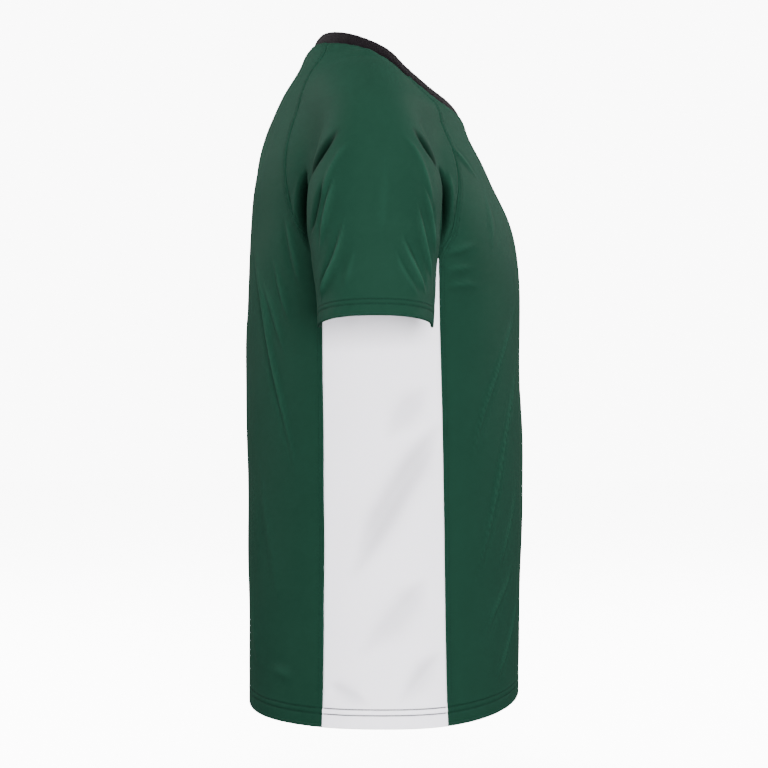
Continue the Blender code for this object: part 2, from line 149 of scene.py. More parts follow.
def waves(place: Array, table: tuple) -> Array:
    """Sum of share * sin(2 pi place / length + start) over a table's rows of length, share and start."""
    return sum(share * np.sin(TURN * place / length + start) for length, share, start in table)


def running_length(points: Array) -> Array:
    """Distance along a polyline at each of its points."""
    return np.concatenate([[0.0], np.cumsum(np.linalg.norm(np.diff(points, axis=0), axis=1))])


def read_along(points: Array, distance: Array, at: Array) -> Array:
    """A polyline's points at places along it, given the distance at each of its own points."""
    return np.stack([np.interp(at, distance, points[:, c]) for c in range(3)], -1)


def evenly(points: Array, count: int) -> Array:
    """The polyline through the points, read at count + 1 even distances."""
    distance = running_length(points)
    return read_along(points, distance, np.linspace(0, distance[-1], count + 1))


# stations next to a sewn edge
CROWD = np.array([0.0, 0.02, 0.045, 0.075, 0.11, 0.15, 0.2, 0.25, 0.3, 0.36, 0.43, 0.51])


def crowded(span: float, step: float, start: bool = True, end: bool = True) -> Array:
    """Grid stations from 0 to span, an even step apart but crowded next to sewn edges.

    Args:
        span: the last station.
        step: distance between stations away from the edges.
        start: whether they crowd at 0.
        end: whether they crowd at the span.

    Returns:
        The stations, increasing.
    """
    low = CROWD if start else np.zeros(1)
    high = span - (CROWD if end else np.zeros(1))[::-1]
    count = int(round((high[0] - low[-1]) / step))
    return np.concatenate([low[:-1], np.linspace(low[-1], high[0], count + 1), high[1:]])


@dataclass(frozen=True)
class Form:
    """The smooth body that the cloth lies on: a torso of level sections and two hanging sleeves.

    A section is a rounded oblong, |u/a|^n + |v/b|^n = 1. Sleeve sections lie in planes
    tilted up and out. The gap to the whole is the smaller of the gaps to torso and
    sleeve, less share^2 * softness / 4, where the share is high where the two are alike.
    """

    # height, front y, back y, half width, squareness
    torso_rows: tuple = (
        (0.024, 0.0490, 0.0610, 0.018, 2.00),
        (0.014, 0.0410, 0.0690, 0.035, 2.00),
        (0.007, 0.0290, 0.0760, 0.052, 2.00),
        (0.000, 0.0120, 0.0825, 0.078, 2.00),
        (-0.015, -0.0185, 0.0900, 0.111, 2.00),
        (-0.030, -0.0335, 0.0985, 0.135, 1.90),
        (-0.045, -0.0505, 0.1080, 0.150, 1.85),
        (-0.057, -0.0655, 0.1140, 0.158, 1.85),
        (-0.067, -0.0795, 0.1185, 0.163, 1.85),
        (-0.086, -0.0895, 0.1255, 0.168, 1.90),
        (-0.118, -0.1050, 0.1345, 0.172, 2.00),
        (-0.150, -0.1195, 0.1400, 0.171, 2.10),
        (-0.185, -0.1335, 0.1425, 0.169, 2.20),
        (-0.220, -0.1415, 0.1445, 0.168, 2.30),
        (-0.264, -0.1455, 0.1460, 0.168, 2.30),
        (-0.305, -0.1460, 0.1465, 0.170, 2.30),
        (-0.400, -0.1470, 0.1465, 0.177, 2.30),
        (-0.500, -0.1470, 0.1460, 0.184, 2.30),
        (-0.600, -0.1455, 0.1450, 0.190, 2.30),
        (-0.694, -0.1435, 0.1440, 0.196, 2.30),
        (-0.760, -0.1425, 0.1430, 0.199, 2.30))
    # distance down, centre out, reach in, reach out, centre y, half depth, squareness in, squareness out
    sleeve_rows: tuple = (
        (0.048, 0.118, 0.004, 0.004, 0.016, 0.004, 2.0, 2.0),
        (0.062, 0.126, 0.022, 0.024, 0.016, 0.022, 2.0, 2.0),
        (0.080, 0.136, 0.034, 0.040, 0.015, 0.033, 2.2, 2.0),
        (0.105, 0.147, 0.042, 0.052, 0.013, 0.042, 2.5, 2.0),
        (0.135, 0.157, 0.052, 0.056, 0.011, 0.050, 3.0, 2.1),
        (0.170, 0.164, 0.062, 0.058, 0.009, 0.061, 3.6, 2.2),
        (0.205, 0.169, 0.069, 0.057, 0.009, 0.066, 4.0, 2.3),
        (0.228, 0.172, 0.068, 0.056, 0.010, 0.065, 5.0, 2.3),
        (0.242, 0.173, 0.060, 0.056, 0.010, 0.064, 5.0, 2.3),
        (0.252, 0.174, 0.051, 0.057, 0.009, 0.063, 4.6, 2.3),
        (0.262, 0.175, 0.046, 0.057, 0.009, 0.062, 4.2, 2.3),
        (0.280, 0.177, 0.048, 0.057, 0.009, 0.060, 3.6, 2.2),
        (0.300, 0.180, 0.052, 0.057, 0.008, 0.058, 3.2, 2.2),
        (0.338, 0.185, 0.057, 0.057, 0.008, 0.055, 2.6, 2.2),
        (0.380, 0.190, 0.060, 0.060, 0.008, 0.054, 2.4, 2.2))
    # height, blend length
    softness_rows: tuple = ((-0.215, 0.010), (-0.170, 0.013), (-0.120, 0.028), (-0.070, 0.060))
    sleeve_tilt: float = float(np.radians(10.0))
    cuff_rise: float = 0.030
    cuff_round: float = 0.20
    probe: float = 0.0003
    longest_move: float = 0.012
    least_steepness: float = 0.02
    way_in_steps: int = 160
    way_in_share: float = 0.6
    torso_read: tuple = field(init=False)
    sleeve_read: tuple = field(init=False)

    def __post_init__(self) -> None:
        """Splines both tables once, at every millimetre."""
        object.__setattr__(self, "torso_read", self.sampled(self.torso_rows))
        object.__setattr__(self, "sleeve_read", self.sampled(self.sleeve_rows))

    @staticmethod
    def sampled(table: tuple) -> tuple[Array, Array]:
        """A table's columns, splined at every millimetre of its first column.

        Args:
            table: rows whose first number is their place.

        Returns:
            The places, and one row of values for each further column.
        """
        rows = np.array(table)
        rows = rows[np.argsort(rows[:, 0])]
        at = np.arange(rows[0, 0], rows[-1, 0], MM)
        return at, natural_spline(rows[:, 0], rows[:, 1:], at).T

    @staticmethod
    def read_at(table: tuple[Array, Array], at: Array) -> list[Array]:
        """Every column of a splined table, at the places."""
        return [np.interp(at, table[0], column) for column in table[1]]

    @staticmethod
    def outline_gap(u: Array, v: Array, half_u: Array, half_v: Array, squareness: Array) -> Array:
        """Distance from (u, v) to a rounded oblong, along the ray from its centre."""
        reach = ((np.abs(u) / half_u)**squareness + (np.abs(v) / half_v)**squareness)**(1 / squareness)
        return np.hypot(u, v) * (1 - 1 / np.maximum(reach, 1e-6))

    def torso_gap(self, points: Array) -> Array:
        """How far each point lies outside the torso.

        Args:
            points: any number of points.

        Returns:
            The gap at each point, below nothing inside.
        """
        x, y, z = np.moveaxis(points, -1, 0)
        front, back, half_width, squareness = self.read_at(self.torso_read, z)
        return self.outline_gap(x, y - (front + back) / 2, half_width, (back - front) / 2, squareness)

    def sleeve_place(self, points: Array) -> tuple[Array, Array]:
        """Distances out along, and down from, the tilted section planes.

        Args:
            points: any number of points.

        Returns:
            Distance out and distance down for each point.
        """
        x, z = np.abs(points[..., 0]), points[..., 2]
        out = x * np.cos(self.sleeve_tilt) + z * np.sin(self.sleeve_tilt)
        down = x * np.sin(self.sleeve_tilt) - z * np.cos(self.sleeve_tilt)
        return out, down

    def sleeve_gap(self, points: Array) -> Array:
        """How far each point lies outside the sleeve of its own side.

        Args:
            points: any number of points.

        Returns:
            The gap at each point, below nothing inside.
        """
        out, down = self.sleeve_place(points)
        centre, reach_in, reach_out, middle, half_depth, square_in, square_out = (
            self.read_at(self.sleeve_read, down))
        u = out - centre
        half_u = np.where(u < 0, reach_in, reach_out)
        squareness = np.where(u < 0, square_in, square_out)
        level = self.outline_gap(u, points[..., 1] - middle, half_u, half_depth, squareness)
        return level + np.maximum(self.sleeve_rows[0][0] - down, 0)

    def gap(self, points: Array) -> Array:
        """How far each point lies outside torso and sleeves, run softly together.

        Args:
            points: any number of points.

        Returns:
            The gap at each point, below nothing inside.
        """
        torso, sleeve = self.torso_gap(points), self.sleeve_gap(points)
        heights, lengths = np.array(self.softness_rows).T
        soft = np.interp(points[..., 2], heights, lengths)
        share = np.maximum(soft - np.abs(torso - sleeve), 0) / soft
        return np.minimum(torso, sleeve) - share**2 * soft / 4

    def slope(self, points: Array, gap: Callable[[Array], Array]) -> Array:
        """Gradient of a gap, by small probes along each axis."""
        probes = np.eye(3) * self.probe
        return np.stack([(gap(points + p) - gap(points - p)) / (2 * self.probe) for p in probes], -1)

    def settle(self, points: Array, gap: Callable[[Array], Array] | None = None,
               free: Sequence[int] = (1, 1, 1), rounds: int = 8) -> Array:
        """Moves points onto a gap's zero surface by Newton's steps.

        Args:
            points: where they start.
            gap: the gap to bring to nothing, or None for the whole form's.
            free: 1 for each axis that they may move along.
            rounds: number of steps.

        Returns:
            The settled points.
        """
        gap = gap or self.gap
        for _ in range(rounds):
            direction = self.slope(points, gap) * np.array(free, float)
            steepness = np.maximum((direction**2).sum(-1), self.least_steepness)
            move = direction * (gap(points) / steepness)[..., None]
            length = np.linalg.norm(move, axis=-1, keepdims=True)
            points = points - move * np.minimum(1, self.longest_move / np.maximum(length, 1e-9))
        return points

    def outward(self, points: Array) -> Array:
        """Unit normals of the form at the points."""
        return unit(self.slope(points, self.gap))

    def around(self, degrees: Array, height: Array) -> Array:
        """Points on the left of the torso, by angle from its side and height.

        Args:
            degrees: angles from the side, below nothing in front.
            height: a height for each angle.

        Returns:
            A point for each angle.
        """
        front, back, half_width, squareness = self.read_at(self.torso_read, height)
        sine, cosine = np.sin(np.radians(degrees)), np.cos(np.radians(degrees))
        x = half_width * np.abs(cosine)**(2 / squareness) * np.sign(cosine)
        y = (front + back) / 2 + (back - front) / 2 * np.sign(sine) * np.abs(sine)**(2 / squareness)
        return np.stack([x, y, height], -1)

    def met_from(self, axis: int, start: float, points: Array) -> Array:
        """Points met by going straight in along one axis.

        Args:
            axis: the axis's number.
            start: the place on it to start from.
            points: points whose other two places say where to go in.

        Returns:
            The points met on the form.
        """
        points = points.copy()
        points[:, axis] = start
        for _ in range(self.way_in_steps):
            points[:, axis] -= self.way_in_share * self.gap(points) * np.sign(start)
        return points

    def sleeve_ring(self, down: float, around: Array, turn: float) -> Array:
        """Ring of the left sleeve at a distance down.

        Args:
            down: distance down the sleeve.
            around: places round the ring, as shares of its length from 0 to 1.
            turn: share of the ring from its first place to its outermost point.

        Returns:
            A point for each place.
        """
        centre, reach_in, reach_out, middle, half_depth, square_in, square_out = (
            self.read_at(self.sleeve_read, down))
        angle = np.radians(np.arange(0, 360.5, 0.5))
        cosine, sine = np.cos(angle), np.sin(angle)
        squareness = np.where(cosine < 0, square_in, square_out)
        u = np.where(cosine < 0, reach_in, reach_out) * np.sign(cosine) * np.abs(cosine)**(2 / squareness)
        y = middle - half_depth * np.sign(sine) * np.abs(sine)**(2 / squareness)
        distance = running_length(np.stack([u, y], -1))
        at = np.mod(around - turn, 1.0) * distance[-1]
        out, y = centre + np.interp(at, distance, u), np.interp(at, distance, y)
        lifted = down - self.cuff_lift(out, down)
        x = out * np.cos(self.sleeve_tilt) + lifted * np.sin(self.sleeve_tilt)
        z = out * np.sin(self.sleeve_tilt) - lifted * np.cos(self.sleeve_tilt)
        return self.settle(np.stack([x, y, z], -1), self.sleeve_gap, free=(1, 1, 0), rounds=4)

    def cuff_lift(self, out: Array, down: Array) -> Array:
        """How much higher the cuff is on its inner side: in step with the way in from the centre.

        Args:
            out: distance out along the section's plane.
            down: distance down to it.

        Returns:
            The lift at each place, with its start rounded.
        """
        centre, reach_in = self.read_at(self.sleeve_read, down)[:2]
        share = np.maximum((centre - out) / reach_in, 0)
        soft = self.cuff_round
        return self.cuff_rise * (np.hypot(share, soft) - soft) / (np.hypot(1, soft) - soft)


# ---------- seams

# points compared with a seam at a time
BATCH = 4000


@dataclass(frozen=True)
class Seam:
    """A sewn line on the form, as a dense polyline read at evenly spaced stations."""

    points: Array
    span: int

    @property
    def length(self) -> float:
        """Length of the line."""
        return float(running_length(self.points)[-1])

    def read(self, stations: Array) -> Array:
        """Points at the stations, which run from 0 to the span."""
        distance = running_length(self.points)
        return read_along(self.points, distance, np.asarray(stations) / self.span * distance[-1])

    def mirrored(self) -> "Seam":
        """The same seam on the other side of the centre plane."""
        return Seam(self.points * MIRROR, self.span)

    def nearest(self, points: Array, reach: float) -> tuple[Array, Array, Array]:
        """The nearest place on the seam to each point, by its distance to every short run.

        Args:
            points: any number of points.
            reach: how far to look.

        Returns:
            Distance to the seam, 1 m where that is beyond the reach, the place along it,
            and the sign of the side that each point lies on, seen from outside.
        """
        flat = points.reshape(-1, 3)
        distance, place, side = np.ones(len(flat)), np.zeros(len(flat)), np.zeros(len(flat))
        low, high = self.points.min(axis=0) - reach, self.points.max(axis=0) + reach
        near = np.flatnonzero(np.all((flat > low) & (flat < high), axis=1))
        start, run = self.points[:-1], np.diff(self.points, axis=0)
        along = running_length(self.points)[:-1]
        size = np.maximum((run**2).sum(-1), 1e-12)
        for batch in np.array_split(near, max(1, len(near) // BATCH)):
            offset = flat[batch, None] - start
            t = np.clip((offset * run).sum(-1) / size, 0, 1)
            apart = offset - t[..., None] * run
            gaps = np.linalg.norm(apart, axis=-1)
            best = gaps.argmin(axis=1)
            row = np.arange(len(batch))
            distance[batch] = gaps[row, best]
            place[batch] = along[best] + t[row, best] * np.sqrt(size[best])
            side[batch] = np.sign((np.cross(run[best], apart[row, best]) * self.facing()[best]).sum(-1))
        distance[distance > reach] = 1.0
        shape = points.shape[:-1]
        return distance.reshape(shape), place.reshape(shape), side.reshape(shape)

    def facing(self) -> Array:
        """A rough outward direction for each short run: away from the body's upright axis."""
        middle = (self.points[1:] + self.points[:-1]) / 2
        return middle * (1 - UP) + 0.05 * UP


@dataclass
class Pattern:
    """Where the seams run on the form, from the neck to the hem."""

    form: Form
    neck_widest_y: float = 0.015
    neck_back_reach: float = 0.061
    neck_front_reach: float = 0.097
    neck_half_width: float = 0.080
    neck_squareness: float = 2.2
    front_angle: float = float(np.radians(112.0))
    back_angle: float = float(np.radians(44.0))
    # side x, height
    front_raglan_rows: tuple = (
        (0.096, -0.048), (0.109, -0.065), (0.115, -0.087), (0.118, -0.110), (0.125, -0.134),
        (0.135, -0.158), (0.145, -0.182), (0.152, -0.205), (0.157, -0.219))
    back_raglan_rows: tuple = (
        (0.096, -0.014), (0.110, -0.040), (0.116, -0.070), (0.118, -0.095), (0.123, -0.127),
        (0.131, -0.161), (0.140, -0.190), (0.149, -0.208))
    # height, front seam y, back seam y
    side_rows: tuple = (
        (-0.229, -0.0550, 0.0620), (-0.300, -0.0560, 0.0620), (-0.400, -0.0585, 0.0605),
        (-0.500, -0.0600, 0.0595), (-0.600, -0.0610, 0.0600), (-0.694, -0.0630, 0.0610))
    underarm_dip: float = 0.007
    hem_height: float = -0.694
    hem_front_rise: float = 0.011
    hem_depth: float = 0.021
    half_depth: float = 0.146
    half_width: float = 0.190
    front_span: int = 16
    back_span: int = 16
    neck_span: int = 5
    raglan_span: int = 9
    underarm_span: int = 6
    side_span: int = 14
    dense: int = 12
    coarse: int = 8
    neck_start: float = -0.020

    def __post_init__(self) -> None:
        """Works out every seam of the left half."""
        self.neck_front = self.neck(self.front_angle, TURN - self.front_angle, self.front_span)
        self.neck_side = self.neck(self.back_angle, self.front_angle, self.neck_span)
        self.neck_back = self.neck(self.back_angle, -self.back_angle, self.back_span)
        self.front_side = self.side(1, self.hem_at(np.array(self.side_rows[-1][1])) + self.hem_depth)
        self.back_side = self.side(2, self.hem_height + self.hem_depth)
        self.front_raglan = self.raglan(self.front_raglan_rows, self.neck_front, self.front_side,
                                        Facing.FRONT)
        self.back_raglan = self.raglan(self.back_raglan_rows, self.neck_back, self.back_side,
                                       Facing.BACK)
        self.underarm = self.armpit()

    def hem_at(self, y: Array) -> Array:
        """Height of the hem: level, rising towards the front with the cube of the way forward."""
        return self.hem_height + self.hem_front_rise * np.clip(-y / self.half_depth, 0, 1)**3

    def neck(self, start: float, end: float, span: int) -> Seam:
        """Part of the neck seam, an egg in plan carried up onto the shoulders.

        Args:
            start: plan angle where it starts, 0 at the back and pi at the front.
            end: plan angle where it ends.
            span: its number of stations.

        Returns:
            The seam.
        """
        angle = np.linspace(start, end, self.coarse * span + 1)
        cosine, sine = np.cos(angle), np.sin(angle)
        reach = np.where(cosine > 0, self.neck_back_reach, self.neck_front_reach)
        x = self.neck_half_width * np.sign(sine) * np.abs(sine)**(2 / self.neck_squareness)
        y = self.neck_widest_y + reach * np.sign(cosine) * np.abs(cosine)**(2 / self.neck_squareness)
        points = np.stack([x, y, np.full_like(x, self.neck_start)], -1)
        points = self.form.settle(points, self.form.torso_gap, free=(0, 0, 1), rounds=30)
        points = evenly(points, self.dense * span)
        return Seam(self.form.settle(points, free=(0, 0, 1)), span)

    def side(self, column: int, bottom: float) -> Seam:
        """Side seam from the underarm down to the top of the hem.

        Args:
            column: 1 for the front seam's y in a row, 2 for the back seam's.
            bottom: height of its lower end.

        Returns:
            The seam.
        """
        rows = np.array(self.side_rows)[::-1]
        heights = np.linspace(rows[-1, 0], bottom, self.side_span * self.dense + 1)
        y = np.interp(heights, rows[:, 0], rows[:, column])
        points = np.stack([np.full_like(y, self.half_width), y, heights], -1)
        return Seam(self.form.settle(points, self.form.torso_gap, free=(1, 0, 0), rounds=20), self.side_span)

    def raglan(self, table: tuple, neck: Seam, side: Seam, facing: Facing) -> Seam:
        """Raglan seam from the neck's corner to the underarm's corner.

        Args:
            table: side x and height of the places that it passes.
            neck: the neck seam that starts at its upper end.
            side: the side seam that starts at its lower end.
            facing: whether it lies in front or behind.

        Returns:
            The seam.
        """
        rows = np.array(table)
        start_y = np.full(len(rows), self.half_depth * facing.value)
        rows = self.form.settle(np.stack([rows[:, 0], start_y, rows[:, 1]], -1), free=(0, 1, 0), rounds=30)
        rows = np.vstack([neck.points[0], rows, side.points[0]])
        distance = running_length(rows)
        at = np.linspace(0, distance[-1], self.raglan_span * self.coarse + 1)
        curve = evenly(self.form.settle(natural_spline(distance, rows, at)), self.raglan_span * self.dense)
        curve[1:-1] = self.form.settle(curve[1:-1])
        curve[0], curve[-1] = neck.points[0], side.points[0]
        return Seam(curve, self.raglan_span)

    def armpit(self) -> Seam:
        """Seam between sleeve and side panel, dipping by a half sine under the sleeve.

        Returns:
            The seam.
        """
        t = np.linspace(0, 1, self.underarm_span * self.dense + 1)[:, None]
        points = self.front_side.points[0] * (1 - t) + self.back_side.points[0] * t
        points[:, 2] -= self.underarm_dip * np.sin(np.pi * t[:, 0])
        points[1:-1] = self.form.settle(points[1:-1])
        return Seam(points, self.underarm_span)

    def level_ring(self, row: Array, above_hem: Array) -> Array:
        """Rows of points carried down the torso to heights above the hem.

        Args:
            row: one row of points.
            above_hem: a height for each new row.

        Returns:
            Rows by points.
        """
        points = np.repeat(row[None], len(above_hem), axis=0)
        for _ in range(6):
            points[..., 2] = self.hem_at(points[..., 1]) + above_hem[:, None]
            points = self.form.settle(points, self.form.torso_gap, free=(1, 1, 0), rounds=3)
        return points


# ---------- folds

# places well beyond the sleeve and the back, to come in from
BEYOND_SIDE = 0.34
BEYOND_BACK = 0.25
# how far a fold reaches, where its hollow lies and how wide that is, in the fold's widths
FOLD_REACH = 4.5
HOLLOW_PLACE = 2.0
HOLLOW_WIDTH = 1.2
# share of the width that is left at a ridge's ends and at the ends of a crease's painted shade
RIDGE_END = 0.45
SHADE_END = 0.35
# width of the painted shade in a crease and of the painted highlight on a ridge, in the fold's widths
SHADE_WIDTH = 1.45
HIGHLIGHT_WIDTH = 0.55
# height in mm below which a fold is a deep crease, and depth at which a crease's painted shade is full
DEEP_BELOW = -2.0
FULL_DEPTH = 9.0
# how much the left side's creases and other folds differ from their fellows: across, down, in size
CREASE_CHANGE = (1.0, 3.0, 0.1)
FOLD_CHANGE = (2.5, 11.0, 0.2)
# size of the slow waves all over the cloth
UNEVENNESS = 0.35 * MM
# steps of a fold's spline from one point of its path to the next, and runs of the finished line
PATH_STEPS = 12
LINE_RUNS = 40


@dataclass(frozen=True)
class Fold:
    """One soft ridge, or trough where its height is negative.

    Across it the cloth rises as height * exp(-(s / width)^2). Beside it the cloth falls by
    a like trough, on the back side where hollow is above nothing and on the front side
    where it is below. The fold tapers in height and width over its start and end shares.
    """

    chart: Chart
    path: tuple
    height: float
    width: float
    hollow: float
    start: float
    end: float

    def line(self, form: Form, hand: Hand) -> Seam:
        """The fold's line on the form, splined through its path.

        Args:
            form: the form that it lies on.
            hand: the side of the body that it is on.

        Returns:
            The line, as a seam of one span.
        """
        rows = np.array(self.path, float)
        at = np.linspace(0, len(rows) - 1, PATH_STEPS * (len(rows) - 1) + 1)
        first, height = natural_spline(np.arange(len(rows), dtype=float), rows, at).T
        if self.chart is Chart.AROUND:
            points = form.settle(form.around(first, height * MM), rounds=4)
        elif self.chart is Chart.ACROSS:
            points = form.met_from(0, BEYOND_SIDE, np.stack([first, first, height], -1) * MM)
        else:
            start = BEYOND_BACK if self.chart is Chart.BACK else -BEYOND_BACK
            points = form.met_from(1, start, np.stack([first, first, height], -1) * MM)
        return Seam(evenly(points, LINE_RUNS) * hand.flip, 1)

    def in_widths(self, across: Array, along: Array, end: float) -> Array:
        """Distance from the line in the fold's widths, which narrow to a share of it at its ends."""
        return across / (self.width * MM * (end + (1 - end) * self.fade(along)))

    def profile(self, across: Array, along: Array) -> Array:
        """Rise of the cloth in metres.

        Args:
            across: signed distance from the line, in metres.
            along: place along the line, from 0 to 1.

        Returns:
            The rise at each place.
        """
        s = self.in_widths(across, along, RIDGE_END)
        beside = (s * np.sign(self.hollow) - HOLLOW_PLACE) / HOLLOW_WIDTH
        return self.height * MM * self.fade(along) * (bell(s) - abs(self.hollow) * bell(beside))

    def fade(self, along: Array) -> Array:
        """Share of the fold's full size at each place along it."""
        return smooth_step(0, self.start, along) * (1 - smooth_step(1 - self.end, 1, along))

    def depth_of_shade(self, across: Array, along: Array) -> Array:
        """Share of painted shade in the bottom of a deep crease, from 0 to 1."""
        s = self.in_widths(across, along, SHADE_END) / SHADE_WIDTH
        return np.clip(-self.height / FULL_DEPTH, 0, 1) * np.sqrt(self.fade(along)) * bell(s)

    def pull(self, across: Array, along: Array) -> Array:
        """Share of painted highlight along a narrow ridge's top, from 0 to 1."""
        s = self.in_widths(across, along, RIDGE_END) / HIGHLIGHT_WIDTH
        return np.clip(self.height / self.width, 0, 1) * self.fade(along) * bell(s)

    def echoed(self, turn: float, drop: float, share: float) -> "Fold":
        """A like fold for the other side: shifted, dropped and scaled, so that it isn't a copy."""
        path = tuple((a + turn, b + drop) for a, b in self.path)
        return replace(self, path=path, height=self.height * share, width=self.width * (2 - share))


def folds(chart: Chart, *rows: tuple) -> tuple[Fold, ...]:
    """Folds on one chart, from rows of path, height, width, hollow, start share and end share."""
    return tuple(Fold(chart, *row) for row in rows)


# deep creases between sleeve and body, and the ones that run up from them over the sleeve's edge
ARMPIT_CREASES = (
    Fold(Chart.ACROSS, ((77, -138), (80, -150), (82, -164), (83, -178), (82, -194), (79, -209), (74, -224)),
         -12.0, 3.8, 0.0, 0.25, 0.55),
    Fold(Chart.BACK, ((151, -182), (160, -173), (175, -164), (190, -156), (204, -149), (214, -140),
                      (221, -129), (226, -118), (228, -107)), -10.0, 6.0, 0.0, 0.4, 0.3),
    Fold(Chart.ACROSS, ((84, -140), (87, -157), (89, -174), (88, -192), (83, -210)), 1.6, 4.5, 0.0, 0.4, 0.4),
    Fold(Chart.ACROSS, ((28, -117), (38, -128), (47, -142), (54, -158), (60, -176), (65, -194)),
         2.0, 3.6, 0.0, 0.3, 0.3),
    Fold(Chart.ACROSS, ((57, -155), (62, -173), (67, -192), (71, -212)), -4.0, 3.4, 0.0, 0.4, 0.3),
    Fold(Chart.ACROSS, ((-54, -134), (-59, -146), (-63, -161), (-63, -178), (-62, -194), (-59, -210),
                        (-56, -226)), -12.0, 3.4, 0.0, 0.25, 0.55),
    Fold(Chart.FRONT, ((150, -178), (157, -167), (170, -158), (185, -151), (199, -144), (209, -136),
                       (215, -126), (219, -116), (222, -106)), -10.5, 6.2, 0.0, 0.4, 0.25),
    Fold(Chart.ACROSS, ((-63, -136), (-67, -148), (-68, -164), (-67, -182), (-63, -200)),
         1.8, 4.2, 0.0, 0.4, 0.4),
    Fold(Chart.ACROSS, ((-15, -113), (-26, -124), (-35, -139), (-41, -157), (-45, -176), (-47, -194)),
         1.8, 3.4, 0.0, 0.3, 0.3))

# the sleeve's fan of long ridges running down from the armpits, lightened by painted highlight on their tops
SLEEVE_FOLDS = folds(
    Chart.ACROSS,
    (((45, -150), (52, -178), (58, -205), (62, -235)), 3.0, 3.1, 0.5, 0.4, 0.4),
    (((36, -190), (42, -222), (50, -247), (57, -266), (61, -280)), 3.4, 3.1, 0.6, 0.5, 0.3),
    (((49, -232), (55, -256), (60, -276)), 2.6, 2.7, 0.5, 0.4, 0.3),
    (((27, -225), (32, -248), (38, -270)), 1.4, 4.2, 0.4, 0.4, 0.4),
    (((-36, -160), (-43, -185), (-47, -212), (-50, -240)), 3.0, 2.7, -0.5, 0.4, 0.4),
    (((-31, -180), (-36, -208), (-42, -236), (-46, -262)), 3.2, 2.9, -0.5, 0.4, 0.3),
    (((-15, -208), (-23, -232), (-32, -252), (-40, -272)), 3.4, 3.4, -0.6, 0.5, 0.3),
    (((-8, -222), (-17, -246), (-27, -264), (-34, -276)), 1.6, 3.8, -0.4, 0.5, 0.3),
    (((-3, -128), (-1, -160), (2, -196), (3, -230)), 1.4, 7.6, 0.2, 0.5, 0.5))

# degrees round from the side and height in mm: the long drags down the back panel
BACK_FOLDS = folds(
    Chart.AROUND,
    (((72, -214), (60, -250), (54, -290), (47, -340), (41, -385), (36, -425), (33, -462)),
     3.2, 3.6, 0.7, 0.35, 0.45),
    (((50, -218), (44, -252), (39, -284), (35, -300)), 2.5, 3.4, 0.6, 0.5, 0.4),
    (((58, -240), (50, -272), (44, -302), (39, -332)), 2.3, 3.6, 0.5, 0.4, 0.4),
    (((43, -180), (38, -208), (34, -238), (31, -264)), 2.8, 3.8, 0.7, 0.4, 0.4),
    (((74, -190), (64, -226), (56, -262), (51, -300), (47, -345)), 1.7, 6.0, 0.4, 0.5, 0.5),
    (((62, -420), (54, -480), (47, -540), (42, -600)), 1.5, 9.3, 0.4, 0.5, 0.5),
    (((80, -520), (70, -590), (60, -655)), 1.7, 10.2, 0.4, 0.5, 0.4),
    (((34, -650), (42, -645), (52, -643)), 1.5, 5.1, 0.3, 0.4, 0.5),
    (((88, -60), (78, -100), (70, -150), (68, -200)), 1.9, 10.2, 0.3, 0.5, 0.5),
    (((92, -240), (84, -310), (80, -390), (82, -470)), 2.3, 11.0, 0.4, 0.5, 0.5))

# the front panel's fan from the chest down to the side
FRONT_FOLDS = folds(
    Chart.AROUND,
    (((-74, -258), (-60, -300), (-51, -335), (-43, -370), (-37, -403), (-32, -446)),
     2.9, 2.5, -0.7, 0.3, 0.45),
    (((-76, -300), (-65, -350), (-55, -408), (-49, -455), (-44, -495), (-38, -535), (-33, -568)),
     3.2, 2.6, -0.8, 0.3, 0.4),
    (((-70, -440), (-63, -480), (-54, -524), (-46, -556)), 2.4, 2.8, -0.7, 0.4, 0.4),
    (((-66, -530), (-56, -560), (-46, -590), (-40, -620)), 2.3, 2.8, -0.6, 0.4, 0.4),
    (((-74, -560), (-66, -594), (-57, -628), (-48, -664)), 2.5, 2.7, -0.7, 0.4, 0.3),
    (((-44, -110), (-48, -118), (-52, -130), (-58, -148)), 2.6, 3.4, -0.4, 0.4, 0.5),
    (((-60, -150), (-55, -178), (-51, -206), (-47, -232)), 1.8, 6.0, -0.4, 0.5, 0.5),
    (((-22, -224), (-30, -219), (-41, -212)), 2.4, 4.2, 0.5, 0.35, 0.6),
    (((-21, -240), (-29, -238), (-38, -236)), 2.2, 4.2, 0.5, 0.35, 0.6),
    (((-21, -256), (-30, -254), (-41, -255)), 2.0, 4.2, 0.5, 0.35, 0.6),
    (((-88, -120), (-84, -170), (-82, -230), (-85, -290)), 2.2, 11.9, 0.4, 0.5, 0.5),
    (((-92, -330), (-86, -400), (-83, -470), (-85, -560)), 2.4, 11.9, -0.4, 0.5, 0.5))

# the side panel's broad slanting hollows
SIDE_FOLDS = folds(
    Chart.AROUND,
    (((-20, -392), (-9, -437), (-2, -470), (4, -509), (11, -551)), -6.5, 11.0, 0.2, 0.3, 0.4),
    (((-15, -356), (-6, -383), (0, -410)), -4.0, 10.0, 0.2, 0.4, 0.5),
    (((-14, -546), (-4, -583), (8, -624)), -4.2, 10.0, 0.2, 0.3, 0.5),
    (((-20, -618), (-12, -645), (-4, -670)), -4.0, 8.0, 0.2, 0.4, 0.5),
    (((20, -650), (11, -663), (3, -671)), -3.0, 6.5, 0.2, 0.3, 0.5))


